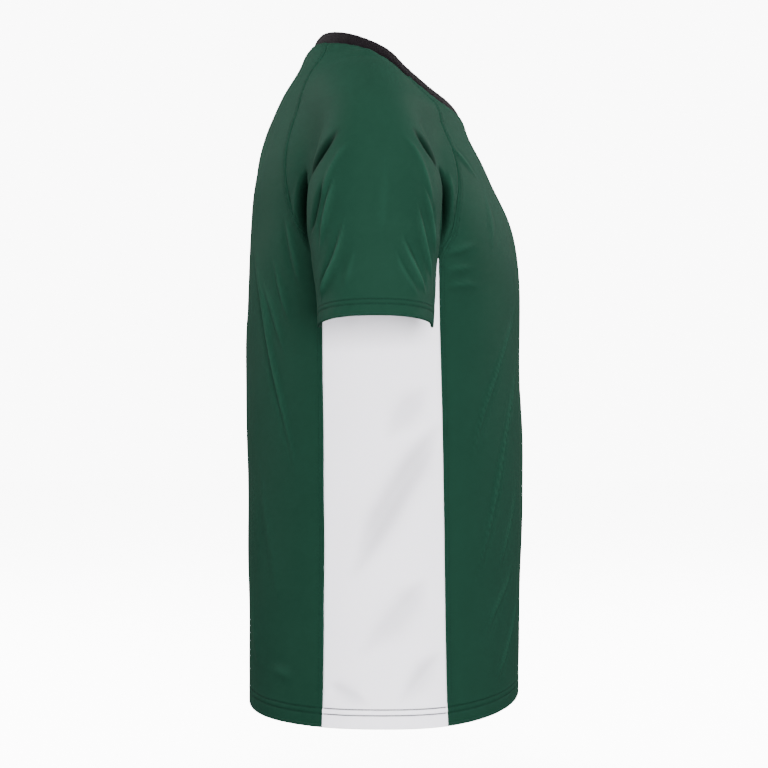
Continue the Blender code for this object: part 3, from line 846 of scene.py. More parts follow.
@dataclass
class Drape:
    """All the folds on the form, and the slight unevenness of hung cloth."""

    form: Form
    lines: list[tuple[Fold, Seam, Hand]] = field(default_factory=list)

    def __post_init__(self) -> None:
        """Places each side's own folds."""
        every = ARMPIT_CREASES + SLEEVE_FOLDS + BACK_FOLDS + FRONT_FOLDS + SIDE_FOLDS
        for number, fold in enumerate(every):
            self.lines.append((fold, fold.line(self.form, Hand.RIGHT), Hand.RIGHT))
            like = self.other_side(fold, number)
            self.lines.append((like, like.line(self.form, Hand.LEFT), Hand.LEFT))

    @staticmethod
    def other_side(fold: Fold, number: int) -> Fold:
        """The left side's fold: like its fellow, by uneven amounts that go with its number.

        Args:
            fold: the right side's fold.
            number: its number in the list of folds.

        Returns:
            The left side's fold.
        """
        if fold in ARMPIT_CREASES:
            across, down, size = CREASE_CHANGE
            share = 1 - size * np.sin(3 * number)**2
            return fold.echoed(across * np.sin(number), down * np.cos(number), share)
        across, down, size = FOLD_CHANGE
        amount = np.sin(2.4 * number)
        return fold.echoed(across * amount, down * np.cos(1.7 * number), 0.85 + size * amount)

    def rise(self, points: Array) -> Array:
        """How far the cloth stands off the form at the points, in metres.

        Args:
            points: points on the form.

        Returns:
            The rise at each point.
        """
        total = self.unevenness(points)
        for fold, line, hand in self.lines:
            distance, place, side = line.nearest(points, FOLD_REACH * fold.width * MM)
            near = distance < 1
            signed = distance[near] * np.where(side[near] < 0, -1, 1) * hand.value
            total[near] += fold.profile(signed, place[near] / line.length)
        return total

    def strongest(self, points: Array, deep: bool) -> Array:
        """The strongest painted shade of a deep crease, or painted highlight of another fold, at each point.

        Args:
            points: points on the form.
            deep: whether the deep creases' painted shade is asked, or the other folds' painted highlight.

        Returns:
            A share from 0 to 1 for each point.
        """
        total = np.zeros(points.shape[:-1])
        for fold, line, _ in self.lines:
            if deep != (fold.height < DEEP_BELOW):
                continue
            distance, place, _ = line.nearest(points, FOLD_REACH * fold.width * MM)
            near = distance < 1
            measure = fold.depth_of_shade if deep else fold.pull
            total[near] = np.maximum(total[near], measure(distance[near], place[near] / line.length))
        return total

    @staticmethod
    def unevenness(points: Array) -> Array:
        """Slow waves in three directions, whose lengths have no common measure.

        Args:
            points: points on the form.

        Returns:
            The rise at each point.
        """
        x, y, z = np.moveaxis(points, -1, 0)
        slanting = np.sin(41 * x + 23 * z + 1.0) * np.sin(17 * y - 31 * z)
        crossing = np.sin(67 * y + 37 * z + 2.1) * np.sin(29 * x + 13 * z + 0.4)
        return UNEVENNESS * (slanting + crossing)


# ---------- finishes

@dataclass
class Shader:
    """A new material, and short ways to add nodes to its tree."""

    name: str

    def __post_init__(self) -> None:
        """Makes the material with its surface shader."""
        self.material = bpy.data.materials.new(self.name)
        self.material.use_nodes = True
        self.tree = self.material.node_tree
        self.surface = self.tree.nodes["Principled BSDF"].inputs

    def constants(self, **values: object) -> None:
        """Sets the surface's own sockets, named with _ for a space."""
        for name, value in values.items():
            self.surface[name.replace("_", " ")].default_value = value

    def cloth(self) -> Socket:
        """The piece's own cloth coordinates, in metres."""
        return self.node("ShaderNodeUVMap", {"uv_map": "cloth"}).outputs["UV"]

    def attribute(self, name: str) -> Socket:
        """A piece's own attribute, as a number."""
        return self.node("ShaderNodeAttribute", {"attribute_name": name}).outputs["Fac"]

    def blend(self, share: object, low: object, high: object) -> Socket:
        """Two colours mixed: the first where the share is 0, the second where it is 1."""
        made = self.node("ShaderNodeMix", {"data_type": "RGBA"}, Factor=share, A=low, B=high)
        return made.outputs["Result"]

    def noise(self, place: Socket, scale: float, detail: float) -> Socket:
        """Soft noise over a place."""
        return self.node("ShaderNodeTexNoise", Vector=place, Scale=scale, Detail=detail).outputs["Fac"]

    def bump(self, height: object, distance: float, strength: float) -> None:
        """Raises the surface by a height."""
        made = self.node("ShaderNodeBump", Height=height, Distance=distance, Strength=strength)
        self.put(self.surface["Normal"], made.outputs["Normal"])

    def node(self, kind: str, settings: dict[str, str] | None = None, **inputs: object) -> bpy.types.Node:
        """A node of a kind, with its settings made before its inputs are set or linked.

        Args:
            kind: the node's type.
            settings: its own settings, by name.
            **inputs: a value or an output for each input, by name.

        Returns:
            The node.
        """
        made = self.tree.nodes.new(kind)
        for name, value in (settings or {}).items():
            setattr(made, name, value)
        for name, value in inputs.items():
            self.put(made.inputs[name], value)
        return made

    def put(self, socket: Socket, value: object) -> None:
        """Links a socket to another, or sets its value.

        Args:
            socket: an input.
            value: its value, or the output to link to it.
        """
        if isinstance(value, Socket):
            self.tree.links.new(value, socket)
        else:
            socket.default_value = value

    def math(self, operation: str, *values: object) -> Socket:
        """The result of a Math node.

        Args:
            operation: what the node works out.
            *values: a value or an output for each input, in order.

        Returns:
            Its output.
        """
        made = self.node("ShaderNodeMath", {"operation": operation})
        for socket, value in zip(made.inputs, values):
            self.put(socket, value)
        return made.outputs[0]


@dataclass(frozen=True)
class KnitFinish:
    """Polyester knit: loops in wales and courses, a faint cloudiness, a soft sheen, and painted shade and
    highlight.

    A loop's height is sin(2 pi (v + |frac(u) - 1/2|)) over a wale's -cos(2 pi u), with u and v
    the cloth's own coordinates over the wale and the course.
    """

    name: str
    colour: tuple[float, float, float]
    sheen: float
    roughness: float
    specular: float = 0.35
    cloud: float = 0.10
    # share of painted shade in the hollows between the knit's loops
    depth: float = 0.35
    wale: float = 0.00085
    course: float = 0.00065
    relief: float = 0.00005
    wale_share: float = 0.5
    # how much lighter the painted highlight along narrow ridge tops makes the colour
    painted_highlight: float = 1.45
    # share of the colour left under full painted shade, in deep creases and hem grooves
    closed: float = 0.04
    cloud_scale: float = 23.0
    fleck_scale: float = 900.0
    fleck_share: float = 0.22
    fleck_light: float = 1.25
    # colour share that the painted shade in the loops' hollows darkens towards
    loop_hollow_shade: float = 0.45
    rough_spread: float = 0.10
    sheen_roughness: float = 0.45
    sheen_light: float = 2.5
    bump_share: float = 0.8

    def shade(self, share: float) -> tuple[float, float, float, float]:
        """The colour made lighter or darker."""
        return tuple(min(1.0, c * share) for c in self.colour) + (1.0,)

    def material(self) -> Material:
        """The finish as a material.

        Returns:
            The material.
        """
        shader = Shader(self.name)
        place = shader.node("ShaderNodeTexCoord").outputs["Object"]
        cloth = shader.cloth()
        loops, wales = self.loops(shader, cloth)
        height = shader.math("ADD", shader.math("MULTIPLY", loops, 1 - self.wale_share),
                             shader.math("MULTIPLY", wales, self.wale_share))
        clouds = shader.noise(place, self.cloud_scale, 3.0)
        flecks = shader.noise(cloth, self.fleck_scale, 1.0)
        base = shader.blend(clouds, self.shade(1 - self.cloud), self.shade(1 + self.cloud))
        flecks = shader.math("MULTIPLY", flecks, self.fleck_share)
        base = shader.blend(flecks, base, self.shade(self.fleck_light))
        # painted shade: the colour darkens in the low parts of the loops
        lowness = shader.math("SUBTRACT", 0.5, shader.math("MULTIPLY", height, 0.5))
        base = shader.blend(shader.math("MULTIPLY", lowness, self.depth), base, self.shade(self.loop_hollow_shade))
        # painted highlight: the colour lightens along narrow ridge tops
        base = shader.blend(shader.attribute("fold_pull"), base, self.shade(self.painted_highlight))
        # painted shade: the colour darkens in deep creases and hem grooves
        base = shader.blend(shader.attribute("fold_shade"), base, self.shade(self.closed))
        shader.put(shader.surface["Base Color"], base)
        rough = shader.math("MULTIPLY_ADD", clouds, self.rough_spread, self.roughness - self.rough_spread / 2)
        shader.put(shader.surface["Roughness"], rough)
        shader.constants(Specular_IOR_Level=self.specular, Sheen_Weight=self.sheen,
                         Sheen_Roughness=self.sheen_roughness, Sheen_Tint=self.shade(self.sheen_light))
        shader.bump(height, self.relief, self.bump_share)
        return shader.material

    def loops(self, shader: Shader, cloth: Socket) -> tuple:
        """Heights of the loops and of the wales, from -1 to 1.

        Args:
            shader: the material's maker.
            cloth: the cloth coordinates.

        Returns:
            The outputs of both heights.
        """
        split = shader.node("ShaderNodeSeparateXYZ", Vector=cloth)
        u = shader.math("DIVIDE", split.outputs["X"], self.wale)
        v = shader.math("DIVIDE", split.outputs["Y"], self.course)
        lean = shader.math("ABSOLUTE", shader.math("SUBTRACT", shader.math("FRACT", u), 0.5))
        loops = shader.math("SINE", shader.math("MULTIPLY", shader.math("ADD", v, lean), TURN))
        wales = shader.math("MULTIPLY", shader.math("COSINE", shader.math("MULTIPLY", u, TURN)), -1.0)
        return loops, wales


@dataclass(frozen=True)
class ThreadFinish:
    """Sewing thread: two plies that wind round it, with painted shade between them and a little sheen."""

    name: str
    colour: tuple[float, float, float]
    specular: float
    ply: float = 0.00045
    relief: float = 0.00004
    # colour share of the painted shade in the grooves between the plies
    ply_groove_shade: float = 0.6
    roughness: float = 0.6
    bump_share: float = 0.6

    def material(self) -> Material:
        """The finish as a material.

        Returns:
            The material.
        """
        shader = Shader(self.name)
        split = shader.node("ShaderNodeSeparateXYZ", Vector=shader.cloth())
        wound = shader.math("DIVIDE", shader.math("ADD", split.outputs["X"], split.outputs["Y"]), self.ply)
        plies = shader.math("SINE", shader.math("MULTIPLY", wound, TURN))
        share = shader.math("MULTIPLY_ADD", plies, 0.5, 0.5)
        # painted shade: the colour darkens in the grooves between the plies, where their bump is low
        ply_groove_shade = tuple(self.ply_groove_shade * c for c in self.colour) + (1.0,)
        shader.put(shader.surface["Base Color"], shader.blend(share, ply_groove_shade, self.colour + (1.0,)))
        shader.constants(Roughness=self.roughness, Specular_IOR_Level=self.specular)
        shader.bump(plies, self.relief, self.bump_share)
        return shader.material


GREEN_JERSEY = KnitFinish("green_jersey_knit", (0.0068, 0.0271, 0.0172), sheen=0.03, roughness=0.65,
                          specular=0.009)
WHITE_JERSEY = KnitFinish("white_jersey_knit", (0.935, 0.91, 1.0), sheen=0.15, roughness=0.55, cloud=0.012,
                          depth=0.10, painted_highlight=1.08, closed=0.50)
BLACK_RIB = KnitFinish("black_rib_knit", (0.0056, 0.0042, 0.0052), sheen=0.0, roughness=0.8, specular=0.04,
                       wale=0.0021, course=0.0008, relief=0.00022, wale_share=0.8, depth=0.5)
GREEN_THREAD = ThreadFinish("green_thread", (0.0036, 0.0200, 0.0125), specular=0.02)
GREY_THREAD = ThreadFinish("grey_thread", (0.022, 0.020, 0.027), specular=0.1)


# ---------- meshes

def quads(numbers: Array) -> Array:
    """Quads between neighbouring rows and columns of numbers."""
    corners = (numbers[:-1, :-1], numbers[1:, :-1], numbers[1:, 1:], numbers[:-1, 1:])
    return np.stack(corners, -1).reshape(-1, 4)


def numbered(shape: Sequence[int], closed: bool = False) -> Array:
    """Numbers of a grid's points in rows, with the first column again at the end where it is closed."""
    numbers = np.arange(shape[0] * shape[1]).reshape(shape[:2])
    return np.hstack([numbers, numbers[:, :1]]) if closed else numbers


def mesh_object(name: str, points: Array, faces: Array, uv: Array, uv_faces: Array,
                finish: Material) -> Object:
    """A smooth mesh with its cloth coordinates.

    Args:
        name: the object's name.
        points: its vertices.
        faces: vertex numbers, all of the same count per face.
        uv: cloth coordinates.
        uv_faces: their numbers for each corner of each face.
        finish: its material.

    Returns:
        The object, at the origin.
    """
    mesh = bpy.data.meshes.new(name)
    corners = faces.shape[1]
    mesh.vertices.add(len(points))
    mesh.vertices.foreach_set("co", points.astype(np.float32).ravel())
    mesh.loops.add(faces.size)
    mesh.loops.foreach_set("vertex_index", faces.astype(np.int32).ravel())
    mesh.polygons.add(len(faces))
    mesh.polygons.foreach_set("loop_start", np.arange(0, faces.size, corners, dtype=np.int32))
    mesh.polygons.foreach_set("loop_total", np.full(len(faces), corners, dtype=np.int32))
    mesh.update(calc_edges=True)
    layer = mesh.uv_layers.new(name="cloth")
    layer.data.foreach_set("uv", uv[uv_faces.ravel()].astype(np.float32).ravel())
    mesh.shade_smooth()
    mesh.materials.append(finish)
    made = bpy.data.objects.new(name, mesh)
    bpy.context.scene.collection.objects.link(made)
    return made


def enclosed(points: Array, faces: Array) -> float:
    """Signed volume within closed faces: the sum of a . (b x c) / 6 over their triangles."""
    a, b, c, d = (points[faces[:, corner]] for corner in (0, 1, 2, -1))
    return float(((a * np.cross(b, c)).sum() + (a * np.cross(c, d)).sum()) / 6)


def outwards(points: Array, faces: Array, uv_faces: Array) -> tuple[Array, Array]:
    """Closed faces and their coordinates' numbers, turned round together if they point inwards."""
    return (faces[:, ::-1], uv_faces[:, ::-1]) if enclosed(points, faces) < 0 else (faces, uv_faces)


def shell_object(name: str, outer: Array, inner: Array, uv: Array, closed: bool,
                 finish: Material) -> Object:
    """A thin wall between an outer and an inner skin, closed all round.

    Args:
        name: the object's name.
        outer: rows by columns of points.
        inner: the same on the inner skin.
        uv: cloth coordinates, with one more column than the points where the wall is closed.
        closed: whether its last column joins its first.
        finish: its material.

    Returns:
        The object, its faces pointing outwards.
    """
    faces, uv_faces = [], []
    for table, ring, skip in ((numbered(outer.shape, closed), faces, outer[..., 0].size),
                              (numbered(uv.shape), uv_faces, 0)):
        far = table + skip
        ring.append(quads(table))
        ring.append(quads(far)[:, ::-1])
        edges = [(table[0], far[0]), (table[-1, ::-1], far[-1, ::-1])]
        if not closed:
            edges += [(table[::-1, 0], far[::-1, 0]), (table[:, -1], far[:, -1])]
        for near, other in edges:
            ring.append(np.stack([near[:-1], near[1:], other[1:], other[:-1]], -1))
    points = np.concatenate([outer.reshape(-1, 3), inner.reshape(-1, 3)])
    faces, uv_faces = outwards(points, np.concatenate(faces), np.concatenate(uv_faces))
    return mesh_object(name, points, faces, uv.reshape(-1, 2), uv_faces, finish)


def cloth_coordinates(grid: Array, closed: bool) -> Array:
    """Cloth coordinates in metres: distance along each row from its middle, and down each column.

    Args:
        grid: rows by columns of points.
        closed: whether its last column joins its first.

    Returns:
        Rows by columns of coordinates, with one more column where it is closed.
    """
    ring = np.concatenate([grid, grid[:, :1]], axis=1) if closed else grid
    across = np.linalg.norm(np.diff(ring, axis=1), axis=-1)
    u = np.concatenate([np.zeros((len(ring), 1)), np.cumsum(across, axis=1)], axis=1)
    u = u - u[:, u.shape[1] // 2][:, None]
    down = np.linalg.norm(np.diff(ring, axis=0), axis=-1)
    v = np.concatenate([np.zeros((1, ring.shape[1])), -np.cumsum(down, axis=0)], axis=0)
    return np.stack([u, v - v[-1]], -1)


# ---------- sewn edges

# length, share and start of each wave along a seam, round a hem and round the neck band
PUCKERS = ((0.0083, 1.0, 0.0), (0.0141, 0.7, 1.3), (0.0317, 0.5, 0.5))
RIPPLES = ((0.0119, 1.0, 0.0), (0.0263, 0.8, 0.9))
BAND_RIPPLES = ((1 / 47, 1.0, 0.0), (1 / 83, 0.6, 1.0))


@dataclass(frozen=True)
class SewnEdge:
    """How cloth lies next to a seam, by its distance d from it.

    The edge rolls in by roll * exp(-(d / roll_width)^2). On the topstitched side the
    turned allowance lifts the cloth as far as its width, each row of stitches pulls
    it down again, and the whole edge puckers in waves along the seam.
    """

    seam: Seam
    rows: tuple[float, ...] = ()
    allowance: float = 0.0070
    lift: float = 0.00030
    roll: float = 0.00075
    roll_width: float = 0.0009
    pull: float = 0.00045
    pull_width: float = 0.0007
    pucker: float = 0.00022
    pucker_fade: float = 0.006
    step_in: float = 0.0015
    step_out: float = 0.0008
    reach: float = 0.022

    def rise(self, points: Array) -> Array:
        """Rise of the cloth at the points.

        Args:
            points: points on the form.

        Returns:
            The rise at each point, nothing beyond the reach.
        """
        distance, place, _ = self.seam.nearest(points, self.reach)
        total = -self.roll * bell(distance / self.roll_width)
        if self.rows:
            low, high = self.allowance - self.step_in, self.allowance + self.step_out
            total += self.lift * (1 - smooth_step(low, high, distance))
        for row in self.rows:
            total -= self.pull * bell((distance - row) / self.pull_width)
        fade = np.exp(-distance / self.pucker_fade) * smooth_step(0, self.step_in, distance)
        total += self.pucker * waves(place, PUCKERS) * fade
        return np.where(distance < 1, total, 0.0)


@dataclass(frozen=True)
class TurnedHem:
    """A hem turned up once and coverstitched, by the height above its fold."""

    rows: tuple[float, ...]
    depth: float
    wall: float = 0.0024
    lift: float = 0.00035
    pull: float = 0.00055
    pull_width: float = 0.0008
    ripple: float = 0.00010
    ripple_reach: float = 0.012
    step_in: float = 0.001
    step_out: float = 0.0015
    least_fold: float = 0.0002
    # share of painted shade at the bottom of each stitch groove
    closed: float = 0.2

    def grooves(self, above: Array) -> list[Array]:
        """Share of the full pull of each row of stitches."""
        return [bell((above - row) / self.pull_width) for row in self.rows]

    def painted_groove_shade(self, above: Array) -> Array:
        """Share of painted shade in the groove of each row of stitches, from 0 to 1."""
        return self.closed * np.maximum.reduce(self.grooves(above))

    def half_fold(self, above: Array) -> Array:
        """Half the thickness of the round fold, sqrt(r^2 - (r - above)^2) up to its radius r."""
        short = np.clip(self.wall / 2 - above, 0, self.wall / 2)
        return np.sqrt(np.maximum((self.wall / 2)**2 - short**2, 0))

    def rise(self, above: Array, around: Array) -> Array:
        """Rise of the cloth: lifted where doubled, rounded in at the fold, drawn down by stitches.

        Args:
            above: heights above the fold.
            around: places round the hem.

        Returns:
            The rise at each place.
        """
        total = self.lift * (1 - smooth_step(self.depth - self.step_in, self.depth + self.step_out, above))
        total -= self.wall / 2 - self.half_fold(above)
        for groove in self.grooves(above):
            total -= self.pull * groove
        fade = smooth_step(self.depth + self.ripple_reach, 0.0, above)
        return total + self.ripple * waves(around, RIPPLES) * fade

    def thickness(self, above: Array, wall: float) -> Array:
        """Wall thickness: doubled below the turned edge, and closing round at the fold."""
        fold = np.minimum(2 * self.half_fold(above) + self.least_fold, self.wall)
        return np.where(above < self.wall / 2, fold, np.where(above < self.depth, self.wall, wall))


BODY_HEM = TurnedHem(rows=(0.0135, 0.0192), depth=0.0206)
# the white side panels' hem gets full painted shade in its stitch grooves
SIDE_HEM = replace(BODY_HEM, closed=1.0)
CUFF_HEM = TurnedHem(rows=(0.0112, 0.0160), depth=0.0172, pull=0.00035)
# heights above the fold of the rows down the hems, close together at the stitches and at the fold
HEM_HEIGHTS = np.array([21.0, 20.75, 20.45, 20.1, 19.6, 19.2, 18.8, 18.2, 17.2, 15.9, 14.8, 14.1, 13.5, 12.9,
                        12.2, 11.0, 9.2, 7.2, 5.2, 3.6, 2.4, 1.6, 1.15, 0.8, 0.5, 0.25, 0.1, 0.0]) * MM
CUFF_HEIGHTS = np.array([17.6, 17.35, 17.1, 16.7, 16.3, 16.0, 15.6, 15.0, 13.9, 12.6, 11.7, 11.2, 10.7, 10.0,
                         8.8, 7.2, 5.4, 3.8, 2.5, 1.7, 1.2, 0.85, 0.55, 0.3, 0.1, 0.0]) * MM
# distances from a seam to its rows of stitches
TWIN_ROWS = (0.0024, 0.0052)
NECK_ROWS = (0.0050,)


# ---------- cloth pieces

@dataclass
class ClothPiece:
    """A piece cut from one cloth: a grid on the form, raised by folds and sewn edges."""

    name: str
    pattern: Pattern
    drape: Drape
    finish: Material
    flat: tuple[float, float]
    area: float
    slot: str = "green_jersey"
    wall: float = 0.0012
    hand: Hand = Hand.LEFT
    closed: bool = False
    calm_height: float = 0.03
    calm_share: float = 0.35
    edges: list[SewnEdge] = field(default_factory=list)

    @property
    def form(self) -> Form:
        """The form that the piece lies on."""
        return self.pattern.form

    def base(self) -> Array:
        """Rows by columns of points on the form."""
        raise NotImplementedError

    def own(self, seam: Seam) -> Seam:
        """A left seam, or its mirror image where the piece is on the right."""
        return seam.mirrored() if self.hand is Hand.RIGHT else seam

    def above_hem(self, points: Array) -> Array:
        """Height above the piece's hem fold."""
        return points[..., 2] - self.pattern.hem_at(points[..., 1])

    def hem(self) -> TurnedHem:
        """The piece's hem."""
        return BODY_HEM

    def rise(self, points: Array) -> Array:
        """How far the outer skin stands off the form.

        Args:
            points: points on the form.

        Returns:
            The rise at each point.
        """
        total = self.drape.rise(points)
        for edge in self.edges:
            total += edge.rise(points)
        above = self.above_hem(points)
        total *= self.calm_share + (1 - self.calm_share) * smooth_step(0.0, self.calm_height, above)
        return total + self.hem().rise(above, points[..., 0] + points[..., 1])

    def lifted(self, points: Array) -> tuple[Array, Array]:
        """Points carried onto the piece's outer skin, and the form's normals there.

        Args:
            points: points near the form.

        Returns:
            The points on the skin, and the normals.
        """
        settled = self.form.settle(points, rounds=3)
        normals = self.form.outward(settled)
        return settled + normals * self.rise(settled)[..., None], normals

    def down_to_hem(self, grid: Array, stations: tuple[Array, Array],
                    edges: tuple[Array, Array, Array]) -> Array:
        """A coarse grid made fine, held to its seams and carried on down to the hem's fold.

        Args:
            grid: coarse rows by columns of points.
            stations: the fine rows and columns to read it at.
            edges: points of its top, left and right seams there.

        Returns:
            Rows by columns of points, hem rows last.
        """
        fine = held_to_edges(refined(grid, *stations), *stations, *edges)
        fine[1:, 1:-1] = self.form.settle(fine[1:, 1:-1], rounds=4)
        return np.concatenate([fine[:-1], self.pattern.level_ring(fine[-1], HEM_HEIGHTS)])

    def build(self) -> Object:
        """Makes the piece's mesh.

        Returns:
            The object, which carries its painted shade and painted highlight as attributes.
        """
        grid = self.base() * self.hand.flip
        normals = self.form.outward(grid)
        outer = grid + normals * self.rise(grid)[..., None]
        thickness = self.hem().thickness(self.above_hem(grid), self.wall)
        inner = outer - normals * thickness[..., None]
        made = shell_object(self.name + "_cloth", outer, inner, cloth_coordinates(grid, self.closed),
                            self.closed, self.finish)
        # painted shade in deep creases and hem grooves, and painted highlight along ridge tops, kept on the
        # points for the finish's colour
        painted_shade = np.maximum(self.drape.strongest(grid, True), self.hem().painted_groove_shade(self.above_hem(grid)))
        for name, values in (("fold_shade", painted_shade), ("fold_pull", self.drape.strongest(grid, False))):
            layer = made.data.attributes.new(name, "FLOAT", "POINT")
            layer.data.foreach_set("value", np.tile(values.ravel(), 2).astype(np.float32))
        log.info("%s: %d faces, cut %.2f x %.2f m", made.name, len(made.data.polygons), *self.flat)
        return made


def relaxed(grid: Array, form: Form, closed: bool = False, rounds: int = 60) -> Array:
    """Evens out a coarse grid on the form, its edges held: each point goes to its neighbours' mean.

    Args:
        grid: rows by columns of points.
        form: the form that they lie on.
        closed: whether the last column joins the first.
        rounds: how often every point moves.

    Returns:
        The evened grid.
    """
    grid = grid.copy()
    for _ in range(rounds):
        if closed:
            sides = np.roll(grid, 1, axis=1) + np.roll(grid, -1, axis=1)
            grid[1:-1] = form.settle((sides[1:-1] + grid[:-2] + grid[2:]) / 4, rounds=2)
        else:
            mean = (grid[1:-1, :-2] + grid[1:-1, 2:] + grid[:-2, 1:-1] + grid[2:, 1:-1]) / 4
            grid[1:-1, 1:-1] = form.settle(mean, rounds=2)
    return grid


def stretched(top: Array, bottom: Array, left: Array, right: Array) -> Array:
    """Grid between four edges: ruled both ways, less the corners' own share.

    Args:
        top: points of the first row.
        bottom: points of the last row.
        left: points of the first column.
        right: points of the last column.

    Returns:
        Rows by columns of points.
    """
    u = np.linspace(0, 1, len(top))[None, :, None]
    v = np.linspace(0, 1, len(left))[:, None, None]
    across = left[:, None] * (1 - u) + right[:, None] * u
    down = top[None] * (1 - v) + bottom[None] * v
    upper = top[0] * (1 - u) + top[-1] * u
    lower = bottom[0] * (1 - u) + bottom[-1] * u
    return across + down - (upper * (1 - v) + lower * v)


def spline_shares(count: int, at: Array) -> Array:
    """Shares of a number of evenly spaced values in their spline, at places between them."""
    return natural_spline(np.arange(count, dtype=float), np.eye(count), at)


def refined(grid: Array, rows: Array, columns: Array) -> Array:
    """A coarse grid splined both ways and read at finer rows and columns."""
    down, across = spline_shares(len(grid), rows), spline_shares(grid.shape[1], columns)
    return np.einsum("ri,ijc,sj->rsc", down, grid, across)


def eased(places: Array) -> Array:
    """A share that falls with the square of the way, from 1 at an edge to 0 at the next station."""
    return np.clip(1 - places, 0, 1)**2


def held_to_edges(grid: Array, rows: Array, columns: Array, top: Array, left: Array, right: Array) -> Array:
    """Moves a grid's top and sides onto their seams, with a share that fades over one station.

    Args:
        grid: fine rows by columns of points.
        rows: their places down the grid.
        columns: their places across it.
        top: the top seam's points at the columns.
        left: the left seam's points at the rows.
        right: the right seam's points at the rows.

    Returns:
        The moved grid.
    """
    grid = grid + (top - grid[0])[None] * eased(rows)[:, None, None]
    grid = grid + (left - grid[:, 0])[:, None] * eased(columns)[None, :, None]
    return grid + (right - grid[:, -1])[:, None] * eased(columns[-1] - columns)[None, :, None]


@dataclass
class TorsoPanel(ClothPiece):
    """Front or back panel, from side seam to side seam and from the neck to the hem."""

    facing: Facing = Facing.FRONT
    row_step: float = 0.105
    column_step: float = 0.115

    def __post_init__(self) -> None:
        """Names the panel's seams and sews its edges."""
        p = self.pattern
        front = self.facing is Facing.FRONT
        self.neck = p.neck_front if front else p.neck_back
        self.raglan = p.front_raglan if front else p.back_raglan
        self.side = p.front_side if front else p.back_side
        self.edges = [SewnEdge(self.neck, NECK_ROWS)]
        for seam in (self.raglan, self.side):
            self.edges += [SewnEdge(seam, TWIN_ROWS), SewnEdge(seam.mirrored(), TWIN_ROWS)]

    def edge_at(self, stations: Array) -> Array:
        """The left edge, down the raglan seam and on down the side seam.

        Args:
            stations: places down it, in seam stations.

        Returns:
            A point for each place.
        """
        span = self.raglan.span
        upper = self.raglan.read(np.minimum(stations, span))
        lower = self.side.read(np.clip(stations - span, 0, self.side.span))
        return np.where((stations <= span)[:, None], upper, lower)

    def base(self) -> Array:
        """The panel's grid on the form.

        Returns:
            Rows by columns of points, hem rows last.
        """
        p, form = self.pattern, self.form
        span = self.raglan.span + self.side.span
        edge = self.edge_at(np.arange(span + 1, dtype=float))
        top = self.neck.read(np.arange(self.neck.span + 1))
        t = np.linspace(0, 1, len(top))[:, None]
        bottom = edge[-1] * (1 - t) + edge[-1] * MIRROR * t
        bottom[:, 1] += p.half_depth * self.facing.value * np.sin(np.pi * t[:, 0])
        bottom = p.level_ring(bottom, np.array([p.hem_depth]))[0]
        bottom = evenly(np.vstack([edge[-1], bottom[1:-1], edge[-1] * MIRROR]), len(top) - 1)
        bottom = p.level_ring(bottom, np.array([p.hem_depth]))[0]
        bottom[0], bottom[-1] = edge[-1], edge[-1] * MIRROR
        grid = relaxed(form.settle(stretched(top, bottom, edge, edge * MIRROR), rounds=20), form)
        rows = crowded(span, self.row_step, end=False)
        columns = crowded(self.neck.span, self.column_step)
        left = self.edge_at(rows)
        return self.down_to_hem(grid, (rows, columns), (self.neck.read(columns), left, left * MIRROR))


@dataclass
class SidePanel(ClothPiece):
    """Side panel, from the underarm to the hem."""

    row_step: float = 0.10
    column_step: float = 0.12

    def __post_init__(self) -> None:
        """Sews the panel's edges."""
        seams = (self.pattern.front_side, self.pattern.back_side, self.pattern.underarm)
        self.edges = [SewnEdge(self.own(seam), roll=0.0008, roll_width=0.0012) for seam in seams]

    def hem(self) -> TurnedHem:
        """The panel's hem."""
        return SIDE_HEM

    def base(self) -> Array:
        """The panel's grid on the form.

        Returns:
            Rows by columns of points, hem rows last.
        """
        p, form = self.pattern, self.form
        front, back, top = p.front_side, p.back_side, p.underarm
        stations = np.arange(front.span + 1)
        t = np.linspace(0, 1, top.span + 1)[:, None]
        bottom = p.level_ring(front.points[-1] * (1 - t) + back.points[-1] * t, np.array([p.hem_depth]))[0]
        bottom[0], bottom[-1] = front.points[-1], back.points[-1]
        grid = stretched(top.read(np.arange(top.span + 1)), bottom, front.read(stations), back.read(stations))
        grid = relaxed(form.settle(grid), form)
        rows = crowded(front.span, self.row_step, end=False)
        columns = crowded(top.span, self.column_step)
        edges = (top.read(columns), front.read(rows), back.read(rows))
        return self.down_to_hem(grid, (rows, columns), edges)


